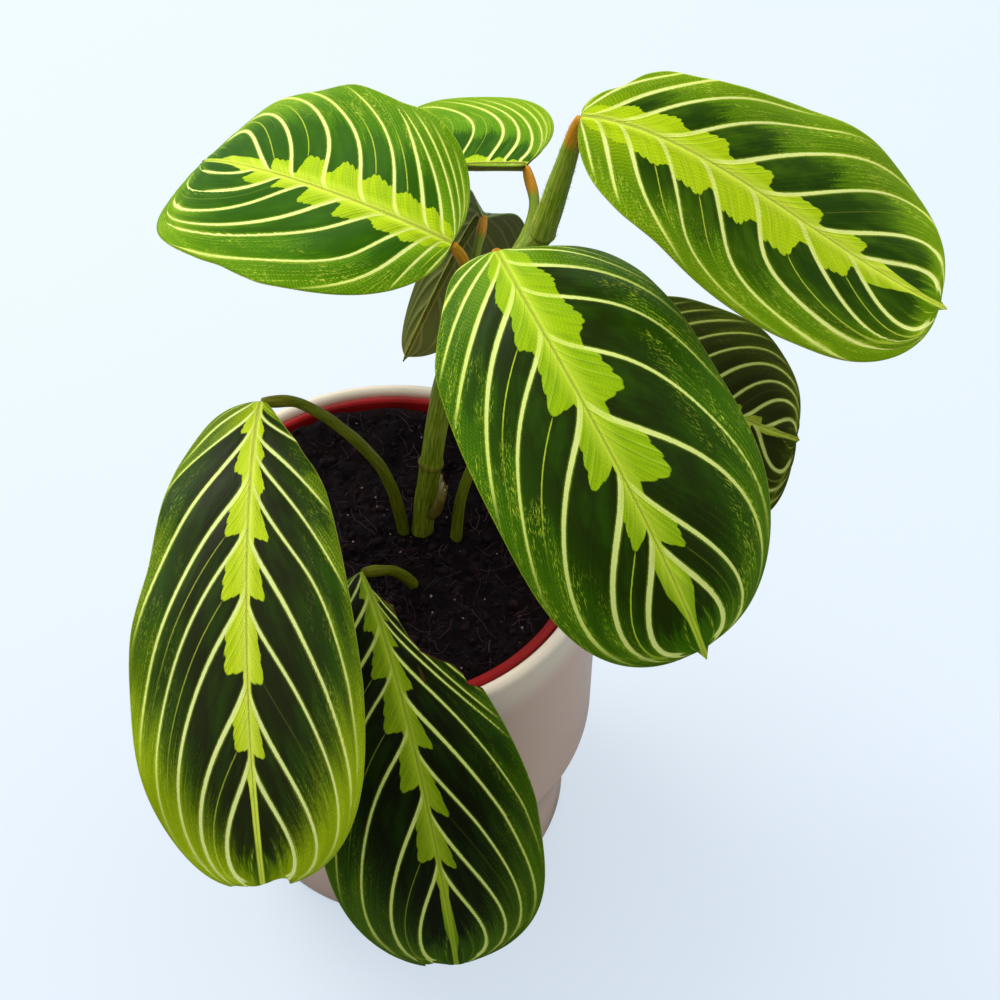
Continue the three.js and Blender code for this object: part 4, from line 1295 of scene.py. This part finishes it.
def shape_blade(name, leaf):
    """The mesh of a blade, and how thick it is at each point, from 0 to 1."""
    bm = bmesh.new()
    bmesh.ops.create_grid(bm, x_segments=COLUMNS, y_segments=ROWS, size=1)
    mesh = mesh_of(bm, name)
    x, y, _ = read(mesh.vertices, "co").astype(float).T
    v = np.arange(ROWS + 1) / ROWS
    rows = (0.25 * v + 0.75 * (0.5 - 0.5 * np.cos(np.pi * v))) * leaf.get("end", 1)
    shares = (np.arange(COLUMNS // 2 + 1) / (COLUMNS // 2)) ** CROWDING
    row = np.round((y + 1) / 2 * ROWS).astype(int)
    column = np.round(np.abs(x) * (COLUMNS // 2)).astype(int)
    halves = {key: shape_half(leaf, key, rows, shares) for key in ("left", "right")}
    on_right = x > 0

    def pick(part):
        left, right = halves["left"][part][row, column], halves["right"][part][row, column]
        return np.where(on_right[:, None] if left.ndim > 1 else on_right, right, left)

    point, normal, width = pick("point"), pick("normal"), pick("width")
    veins, blade, edges = pick("veins"), pick("blade"), pick("edges")
    from_rib, to_margin = blade[:, 2], edges[:, 0]
    phase = veins[:, 0] % 1
    soft = np.clip(veins[:, 2] / 6, 0, 1) * np.clip(from_rib / 4, 0, 1)
    soft = soft * np.clip(to_margin / 4, 0, 1)
    quilt = QUILT * (np.sin(np.pi * phase) ** 0.7 - 0.5) * soft
    in_band = np.clip((pick("limits")[:, 0] - blade[:, 1]) / 0.04, 0, 1)
    pleats = PLEATS * (np.sin(6 * np.pi * phase) ** 2 - 0.5) * soft * in_band
    beside = np.exp(-((from_rib - 1.4) / 1.0) ** 2) * np.clip(width / 8, 0, 1)
    point = point + (quilt + pleats + SWELL * beside + SHEET / 2)[:, None] * normal
    mesh.vertices.foreach_set("co", (point * MM).astype(np.float32).ravel())
    for label, values in (("veins", veins), ("blade", blade), ("limits", pick("limits")),
                          ("edges", edges)):
        write(mesh, label, values)
    mesh.update()
    ridge = np.exp(-(from_rib / 1.1) ** 2) * np.clip(1.2 - blade[:, 0], 0, 1)
    beads = np.exp(-((np.minimum(phase, 1 - phase) * veins[:, 2]) / 0.6) ** 2) * (1 - blade[:, 1])
    thick = np.clip(np.maximum(ridge, 0.35 * beads), 0, 1) * np.clip(width / 4, 0, 1)
    return mesh, thick


def thicken(piece, thick):
    """Gives the sheet its thickness, more where thick is near 1."""
    group = piece.vertex_groups.new(name="thick")
    for level in range(1, LEVELS + 1):
        chosen = np.where(np.round(thick * LEVELS).astype(int) == level)[0]
        group.add([int(i) for i in chosen], level / LEVELS, "REPLACE")
    solid = piece.modifiers.new("thickness", "SOLIDIFY")
    solid.thickness = (SHEET + KEEL) * MM
    solid.thickness_vertex_group = SHEET / (SHEET + KEEL)
    solid.vertex_group = "thick"
    solid.offset = -1
    solid.material_offset = 1
    solid.material_offset_rim = 0


# %% [markdown]
# ## The markings
# Three things make the markings of this plant. A lime band runs along the midrib, and in each
# cell between two side veins it has a scalloped lobe that ends in a sharp corner, after which
# it falls back to the midrib. The veins are pale lines that grow thinner to the margin. Between
# them lie dark blotches, whose outer edge breaks up into streaks along the veins. The shader
# finds all of it from the map of the veins. The vein lines come first, because both faces of a
# blade show them.

# %% Shared effect: vein lines
def vein_noise(b, number, length, across, along, scale=1.0, detail=2.0, rough=0.5):
    """Noise that is drawn out along the veins."""
    return b.noise(b.vector(b.times(number, across), b.times(length, along)), scale, detail, rough)


def make_vein_lines():
    takes = [("Veins", "vector"), ("Blade", "vector"), ("Width", "number", 0.6)]
    gives = [("Line", "number"), ("Border", "number"), ("Phase", "number"), ("Wobble", "number"),
             ("Cell", "number")]
    tree, b, given, out = effect("vein_lines", takes, gives)
    number, length, spacing = b.parts(given["Veins"])
    _, share, _ = b.parts(given["Blade"])
    wobble = b.minus(vein_noise(b, number, length, 14.0, 1.0, 0.9, 3.0, 0.6), 0.5)
    nearest = b.math("ROUND", number)
    apart = b.times(b.math("ABSOLUTE", b.minus(number, nearest)), spacing)
    apart = b.plus(apart, b.times(wobble, 0.28))
    own = b.ramp(b.chance(nearest), 0.0, 1.0, 0.82, 1.15)
    wide = b.times(b.times(given["Width"], own), b.ramp(share, 0.1, 0.95, 1.0, 0.4))
    wide = b.math("MINIMUM", wide, b.times(spacing, 0.09))
    seen = b.rise(share, 1.0, 0.86)
    b.join(b.times(b.rise(b.minus(apart, wide), -0.10, 0.12, 1.0, 0.0), seen), out["Line"])
    b.join(b.times(b.rise(b.minus(apart, wide), 0.0, 0.5, 1.0, 0.0), seen), out["Border"])
    b.join(b.math("FRACT", number), out["Phase"])
    b.join(wobble, out["Wobble"])
    b.join(b.chance(b.plus(b.math("FLOOR", number), 0.3)), out["Cell"])
    return tree


vein_lines = make_vein_lines()


# %% [markdown]
# Finer lines run between the veins, and still finer cross-pieces join those, like the rungs of
# a ladder. They show as tiny ripples where the light grazes the blade.

# %% Shared effect: ladder ripples
def make_ripples():
    takes = [("Veins", "vector"), ("Lines", "number", 9.0), ("Rungs", "number", 1.15)]
    gives = [("Line", "number"), ("Rung", "number"), ("Streak", "number"), ("Stipple", "number")]
    tree, b, given, out = effect("ladder_ripples", takes, gives)
    number, length, spacing = b.parts(given["Veins"])
    fine = b.times(number, given["Lines"])
    own = b.chance(b.math("FLOOR", fine))
    drawn = b.rise(b.chance(b.math("ROUND", fine)), 0.25, 0.9, 0.2, 1.0)
    b.join(b.times(b.rise(b.math("PINGPONG", fine, 0.5), 0.16, 0.0), drawn), out["Line"])
    drift = b.times(b.noise(b.vector(fine, b.times(length, 0.3)), 1.0, 2.0), 1.4)
    steps = b.plus(b.plus(b.times(length, given["Rungs"]), own), drift)
    b.join(b.rise(b.math("PINGPONG", steps, 0.5), 0.08, 0.4), out["Rung"])
    b.join(vein_noise(b, number, length, 16.0, 0.10, 1.0, 3.0, 0.6), out["Streak"])
    b.join(vein_noise(b, number, length, 30.0, 1.8, 1.0, 2.0, 0.6), out["Stipple"])
    return tree


ladder_ripples = make_ripples()


# %% [markdown]
# The markings themselves are one group with the colours of a leaf as its inputs, so that eight
# leaves, some young and lime, some old and dark, come from one set of rules. As one recipe the
# group would be hard to follow. So each marking has a function of its own, and what one finds
# is kept in a bundle, m, for those that follow. The bundle starts with the parts of the map.

# %% Read the map in a finish
def read_map(b, veins, blade):
    """The two groups that both faces of a blade use, joined to the map."""
    lines = b.node("Group", node_tree=vein_lines)
    ripples = b.node("Group", node_tree=ladder_ripples)
    for made in (lines, ripples):
        b.join(veins, made.inputs["Veins"])
    b.join(blade, lines.inputs["Blade"])
    return lines, ripples


def start_bundle(b, given):
    """The bundle with all parts of the map, as a finish reads them."""
    m = SimpleNamespace()
    m.t, m.a, m.from_rib = b.parts(given["Blade"])
    m.number, m.length, m.spacing = b.parts(given["Veins"])
    m.wide, m.neck, m.dark_reach = b.parts(given["Limits"])
    m.to_margin, m.dry, m.begun = b.parts(given["Edges"])
    lines, ripples = read_map(b, given["Veins"], given["Blade"])
    b.join(given["Vein width"], lines.inputs["Width"])
    m.vein, m.border, m.phase, m.wobble, m.cell = lines.outputs
    m.line, m.rung, m.streak, m.stipple = ripples.outputs
    return m


# %% [markdown]
# In a cell between two side veins, phase goes from 0 at the vein nearer the base to 1 at the
# next. The lime band has a lobe in each cell, whose corner is near a phase of 0.45. Three
# scallops lead up to the corner, and behind it the lobe falls back to the neck.

# %% Find the lobed band
LEFT_ABOVE = 25.0


def find_band(b, given, m):
    """Adds the band to the bundle, as a mask, with its corner, its scallops and the way along."""
    m.corner = b.ramp(m.cell, 0.0, 1.0, 0.42, 0.52)
    m.along_lobe = b.math("DIVIDE", m.phase, m.corner)
    m.scallop = b.math("ABSOLUTE", b.math("SINE", b.times(m.along_lobe, 3 * math.pi)))
    grown = b.ramp(m.along_lobe, 0.0, 1.0)
    left, right = given["Lobe start left"], given["Lobe start right"]
    on_left = b.rise(m.number, LEFT_ABOVE, LEFT_ABOVE + 1)
    first = b.plus(right, b.times(on_left, b.minus(left, right)))
    lobe = b.plus(first, b.times(grown, b.minus(1.0, first)))
    lobe = b.plus(lobe, b.times(b.minus(m.scallop, 0.7), 0.08))
    fall = b.ramp(b.plus(b.minus(m.phase, m.corner), b.times(m.wobble, 0.06)), 0.0, 0.34)
    limit = b.times(m.wide, lobe)
    limit = b.plus(limit, b.times(fall, b.minus(m.neck, limit)))
    limit = b.plus(limit, b.times(m.wobble, 0.025))
    m.band = b.rise(b.minus(limit, m.a), -0.006, 0.006)


# %% [markdown]
# The dark blotches lie outside the band. Their outer edge is feathered by noise that is drawn
# out along the veins. They stop before the base and the tip, and keep a little off the veins.

# %% Find the dark blotches
def find_dark(b, given, m):
    """Adds the dark blotches and the light of the tip to the bundle, as masks."""
    reach = b.times(m.dark_reach, b.rise(m.phase, 0.35, 0.85, 1.0, 0.78))
    uneven = b.plus(b.minus(m.streak, 0.5), b.times(b.minus(m.stipple, 0.5), 0.7))
    inside_reach = b.plus(b.minus(reach, m.a), b.times(uneven, given["Feather"]))
    dark = b.rise(inside_reach, -0.03, 0.06)
    ends = b.times(m.begun, b.rise(b.plus(m.t, b.times(uneven, 0.1)), 0.955, 0.90))
    tip = b.plus(b.plus(m.t, b.times(m.a, 0.5)), b.times(uneven, 0.3))
    m.tip_light = b.times(b.rise(tip, 0.92, 1.3), given["Tip light"])
    ends = b.times(ends, b.minus(1.0, m.tip_light))
    m.dark = b.times(b.times(dark, ends), b.minus(1.0, b.times(m.border, 0.25)))


# %% [markdown]
# The ground is green, with lighter streaks, a lighter rim and a lighter tip. The blotches are
# laid over it, clouded with green. Out towards the margin lie fine pale flecks, in clumps. Each
# function takes the shade so far and gives it back with one thing more.

# %% Paint the ground
def paint_ground(b, given, m):
    streaks = b.plus(m.streak, b.times(b.minus(m.stipple, 0.5), 0.6))
    m.outer = b.times(b.rise(m.a, 0.35, 0.75), b.rise(m.phase, 0.2, 0.75, 0.45, 1.0))
    bright = b.times(b.times(b.rise(streaks, 0.48, 0.74), 0.7), m.outer)
    rim = b.times(b.rise(m.to_margin, 7.0, 0.5), given["Rim light"])
    bright = b.math("MAXIMUM", b.math("MAXIMUM", bright, rim), m.tip_light)
    glow = b.times(b.minus(1.0, m.begun), b.rise(m.a, 0.85, 0.2))
    bright = b.math("MAXIMUM", bright, b.times(glow, 0.85))
    ground = b.mix(bright, given["Green colour"], given["Bright colour"])
    ground = b.stain(ground, b.minus(1.0, m.rung), 0.34, given["Dark colour"])
    threads = b.times(m.line, b.rise(m.stipple, 0.42, 0.62))
    return b.stain(ground, threads, 0.55, given["Ridge colour"])


def paint_blotches(b, given, m, shade):
    cloud = vein_noise(b, m.number, m.length, 1.7, 0.07, 1.3)
    outward = b.times(b.rise(m.a, 0.35, 0.9), 0.45)
    lit = b.plus(b.plus(b.times(b.rise(cloud, 0.42, 0.75), 0.3), outward), b.times(m.line, 0.08))
    return b.mix(m.dark, shade, b.mix(lit, given["Dark colour"], given["Green colour"]))


def paint_flecks(b, given, m, shade):
    clumps = b.rise(vein_noise(b, m.number, m.length, 2.3, 0.09, detail=1.0), 0.42, 0.62)
    dashes = vein_noise(b, m.number, m.length, 44.0, 0.7, detail=1.0)
    flecks = b.rise(b.plus(dashes, b.times(m.streak, 0.5)), 0.80, 0.92)
    flecks = b.times(b.times(flecks, b.rise(m.a, 0.5, 0.75)), clumps)
    return b.stain(shade, b.times(flecks, given["Flecks"]), 0.75, given["Ridge colour"])


# %% [markdown]
# Some lobes send a thin second vein from their corner out into the blotch. The band itself has
# a ridge from the midrib to each scallop, and hollows between them, which are painted a darker
# green as shade. The side veins lie over all of it, bordered with lime, and the midrib is a dull
# line between two bright ones.

# %% Paint the band and the veins
def paint_second_veins(b, given, m, shade):
    off = b.times(b.math("ABSOLUTE", b.minus(m.phase, b.plus(m.corner, 0.02))), m.spacing)
    thin = b.rise(b.plus(off, b.times(m.wobble, 0.2)), 0.22, 0.05)
    thin = b.times(thin, b.rise(b.minus(m.a, m.wide), -0.03, 0.03))
    thin = b.times(thin, b.rise(m.a, 0.85, 0.55))
    thin = b.times(b.times(thin, b.rise(m.cell, 0.50, 0.60)), given["Second veins"])
    return b.stain(shade, thin, 0.75, given["Ridge colour"])


def paint_band(b, given, m, shade):
    m.pleat = b.times(b.rise(m.scallop, 0.86, 1.0), b.rise(m.along_lobe, 1.05, 0.95))
    inner = b.stain(given["Band colour"], m.pleat, 0.55, given["Ridge colour"])
    inner = b.stain(inner, b.rise(m.streak, 0.40, 0.65), 0.5, given["Bright colour"])
    # Painted shade: the hollows between the ridges of the band are darkened towards green.
    hollow_shade = b.times(b.rise(m.phase, 0.75, 0.2, 0.0, 1.0), b.rise(m.a, 0.02, 0.12))
    inner = b.stain(inner, hollow_shade, 0.3, given["Bright colour"])
    inner = b.stain(inner, b.minus(1.0, m.rung), 0.12, given["Green colour"])
    inner = b.stain(inner, b.rise(m.a, 0.12, 0.02), 0.45, given["Ridge colour"])
    inner = b.stain(inner, b.rise(m.t, 0.84, 0.93), 0.75, given["Bright colour"])
    return b.mix(m.band, shade, inner)


def paint_veins(b, given, m, shade):
    pale = b.stain(given["Vein colour"], m.band, 0.55, given["Ridge colour"])
    pale = b.stain(pale, b.rise(m.a, 0.55, 0.95), 0.5, given["Ridge colour"])
    border = b.times(m.border, b.ramp(m.band, 0.0, 1.0, 0.22, 0.4))
    shade = b.mix(border, shade, given["Band colour"])
    return b.mix(m.vein, shade, pale)


def paint_midrib(b, given, m, shade):
    rib_half = b.ramp(m.t, 0.0, 1.0, 0.42, 0.12)
    beside = b.rise(b.minus(m.from_rib, rib_half), 0.75, 0.25)
    shade = b.stain(shade, beside, 0.8, given["Ridge colour"])
    m.rib = b.rise(b.minus(m.from_rib, rib_half), 0.08, -0.12)
    dull = b.mix(0.5, given["Ridge colour"], tint(112, 124, 60))
    return b.stain(shade, m.rib, 0.7, dull)


def paint_margin(b, given, m, shade):
    shade = b.stain(shade, b.rise(m.to_margin, 0.35, 0.05), 0.35, given["Ridge colour"])
    return b.mix(b.rise(m.dry, 0.25, 0.6), shade, tint(70, 46, 20))


# %% [markdown]
# Now the group is put together. Apart from the colour it gives a height, in which veins, lines
# and ladder ripples stand out and the midrib lies low, and a roughness that varies a little.

# %% The markings of the upper face
def make_markings():
    takes = [
        ("Veins", "vector"), ("Blade", "vector"), ("Limits", "vector"), ("Edges", "vector"),
        ("Band colour", "colour"), ("Ridge colour", "colour"), ("Vein colour", "colour"),
        ("Dark colour", "colour"), ("Green colour", "colour"), ("Bright colour", "colour"),
        ("Feather", "number"), ("Vein width", "number"), ("Rim light", "number"),
        ("Tip light", "number"), ("Second veins", "number"), ("Lobe start left", "number"),
        ("Lobe start right", "number"), ("Flecks", "number"),
    ]
    gives = [("Colour", "colour"), ("Height", "number"), ("Roughness", "number")]
    tree, b, given, out = effect("leaf_markings", takes, gives)
    m = start_bundle(b, given)
    find_band(b, given, m)
    find_dark(b, given, m)
    shade = paint_ground(b, given, m)
    for paint in (paint_blotches, paint_flecks, paint_second_veins, paint_band, paint_veins,
                  paint_midrib, paint_margin):
        shade = paint(b, given, m, shade)
    b.join(shade, out["Colour"])

    raised = b.plus(b.times(m.vein, 0.5), b.times(m.line, 0.16))
    ladder = b.times(m.rung, b.plus(0.04, b.times(b.math("MAXIMUM", m.band, m.outer), 0.12)))
    raised = b.plus(b.plus(raised, ladder), b.times(m.stipple, 0.05))
    raised = b.plus(raised, b.times(b.times(m.pleat, m.band), 0.5))
    b.join(b.plus(raised, b.times(m.rib, -0.4)), out["Height"])
    grain = b.plus(m.stipple, b.times(m.band, 0.15))
    b.join(b.ramp(grain, 0.3, 0.9, 0.36, 0.52), out["Roughness"])
    return tree


leaf_markings = make_markings()

# %% [markdown]
# The newest leaves stand highest and are the brightest. The old ones by the soil are nearly
# black between their veins, and the front one, which hangs in shade before the pot, is darker
# still: its old colours deepened by painted shade. The leaf on the right is given dull, dark
# colours as painted shade, for the leaves above shade it. Each leaf has a look of its own: its
# colours, how feathered its blotches are, how wide its veins, how light its rim and tip, how
# clear its second veins and flecks, how far its lobes reach where they start, left and right,
# and its shine.

# %% The looks of the eight leaves
young = dict(band=(198, 226, 20), ridge=(226, 244, 78), vein=(240, 250, 150), vein_width=0.55,
             shine=0.04, flecks=0.7)
looks = {
    "top_right": dict(young, dark=(36, 66, 0), green=(96, 142, 0), bright=(158, 194, 4), feather=0.42,
                      rim_light=0.35, tip_light=0.3, second_veins=0.8, start=(0.9, 0.9)),
    "top_left": dict(young, dark=(46, 92, 0), green=(74, 130, 0), bright=(140, 188, 14), feather=0.4,
                     rim_light=0.35, tip_light=0.8, second_veins=0.8, start=(0.8, 0.85)),
    "back": dict(young, dark=(42, 90, 0), green=(100, 156, 6), bright=(148, 192, 14), feather=0.35,
                 rim_light=0.6, tip_light=0.4, second_veins=0.4, start=(0.8, 0.8)),
    "centre": dict(band=(170, 206, 10), ridge=(208, 234, 62), vein=(232, 246, 140), vein_width=0.65,
                   dark=(30, 46, 0), green=(56, 106, 0), bright=(120, 168, 12), feather=0.5,
                   rim_light=0.15, tip_light=0.25, second_veins=1.0, start=(0.8, 0.6),
                   shine=0.06, flecks=0.9),
    # Painted shade: the right leaf gets dull, dark colours, for it stands in the shade of the leaves
    # above it.
    "right": dict(band=(140, 160, 20), ridge=(166, 180, 60), vein=(180, 194, 104), vein_width=0.5,
                  dark=(34, 40, 2), green=(52, 68, 4), bright=(80, 98, 12), feather=0.2,
                  rim_light=0.1, tip_light=0.2, second_veins=0.4, start=(0.6, 0.6),
                  shine=0.06, flecks=0.2),
    "hanging": dict(band=(150, 180, 60), ridge=(176, 200, 96), vein=(196, 212, 130), vein_width=0.5,
                    dark=(42, 64, 16), green=(70, 104, 30), bright=(100, 140, 46), feather=0.3,
                    rim_light=0.2, tip_light=0.2, second_veins=0.4, start=(0.6, 0.6),
                    shine=0.1, flecks=0.2),
    "front_left": dict(band=(206, 230, 28), ridge=(228, 244, 84), vein=(236, 248, 156), vein_width=0.5,
                       dark=(32, 38, 8), green=(50, 92, 0), bright=(172, 200, 0), feather=0.3,
                       rim_light=0.25, tip_light=0.95, second_veins=0.5, start=(0.5, 0.85),
                       shine=0.09, flecks=0.3),
    # The front leaf's near-black is its old blotch colour, deepened by painted shade, for it hangs in
    # shade before the pot.
    "front": dict(band=(150, 178, 8), ridge=(176, 202, 44), vein=(222, 238, 126), vein_width=0.45,
                  dark=(15, 21, 0), green=(38, 72, 0), bright=(92, 134, 4), feather=0.3,
                  rim_light=0.25, tip_light=0.6, second_veins=0.5, start=(0.5, 0.6),
                  shine=0.06, flecks=0.35),
}
print("looks:", len(looks))

# %% [markdown]
# A living leaf has a waxy skin with a weak, broad shine. The finish joins the stored map to
# the markings, sets the colours and numbers of one leaf, and keeps the reflection low.

# %% The finish of the upper face
COLOURS = ("band", "ridge", "vein", "dark", "green", "bright")
NUMBERS = ("feather", "vein_width", "rim_light", "tip_light", "second_veins", "flecks")
RELIEF = (0.0003, 0.7)


def upper_finish(name, look):
    material, b, shader = finish(f"leaf {name}", tint(*look["green"]), Roughness=0.4,
                                 Specular_IOR_Level=look["shine"])
    made = b.node("Group", node_tree=leaf_markings)
    for source in ("veins", "blade", "limits", "edges"):
        b.join(b.attribute(source), made.inputs[source.capitalize()])
    for part in COLOURS:
        made.inputs[f"{part.capitalize()} colour"].default_value = tint(*look[part])
    for part in NUMBERS:
        made.inputs[part.replace("_", " ").capitalize()].default_value = look[part]
    for key, start in zip(("left", "right"), look["start"]):
        made.inputs[f"Lobe start {key}"].default_value = start
    b.join(made.outputs["Colour"], shader["Base Color"])
    b.join(made.outputs["Roughness"], shader["Roughness"])
    b.join(b.bump(made.outputs["Height"], *RELIEF), shader["Normal"])
    return material


# %% [markdown]
# The lower face of a blade is duller: an olive grey with pale veins that stand out, and a soft
# bloom. One finish serves all eight leaves.

# %% The finish of the lower face
def lower_finish():
    material, b, shader = finish("leaf underside", tint(104, 116, 66), Roughness=0.55,
                                 Specular_IOR_Level=0.1)
    blade = b.attribute("blade")
    lines, ripples = read_map(b, b.attribute("veins"), blade)
    lines.inputs["Width"].default_value = 0.5
    line, rung = lines.outputs["Line"], ripples.outputs["Rung"]
    bloom = b.rise(ripples.outputs["Streak"], 0.35, 0.7)
    shade = b.stain(tint(104, 116, 50), bloom, 0.5, tint(136, 146, 76))
    shade = b.stain(shade, b.minus(1.0, rung), 0.15, tint(84, 94, 36))
    shade = b.stain(shade, line, 0.4, tint(160, 170, 96))
    shade = b.mix(b.rise(b.parts(blade)[2], 1.1, 0.5), shade, tint(156, 158, 66))
    b.join(shade, shader["Base Color"])
    b.join(b.bump(b.plus(b.times(line, 0.6), b.times(rung, 0.2)), *RELIEF), shader["Normal"])
    b.join(b.ramp(ripples.outputs["Stipple"], 0.3, 0.8, 0.48, 0.64), shader["Roughness"])
    return material


underside = lower_finish()

# %% [markdown]
# All is ready now for the blades. Each one is shaped, gets its own upper finish and the shared
# lower one, and is thickened by its modifier.

# %% Make the eight blades
for name, leaf in leaves.items():
    mesh, thick = shape_blade(f"leaf_{name}", leaf)
    piece = present(f"leaf_{name}", mesh, [upper_finish(name, looks[name]), underside],
                    f"blade_{name}")
    thicken(piece, thick)
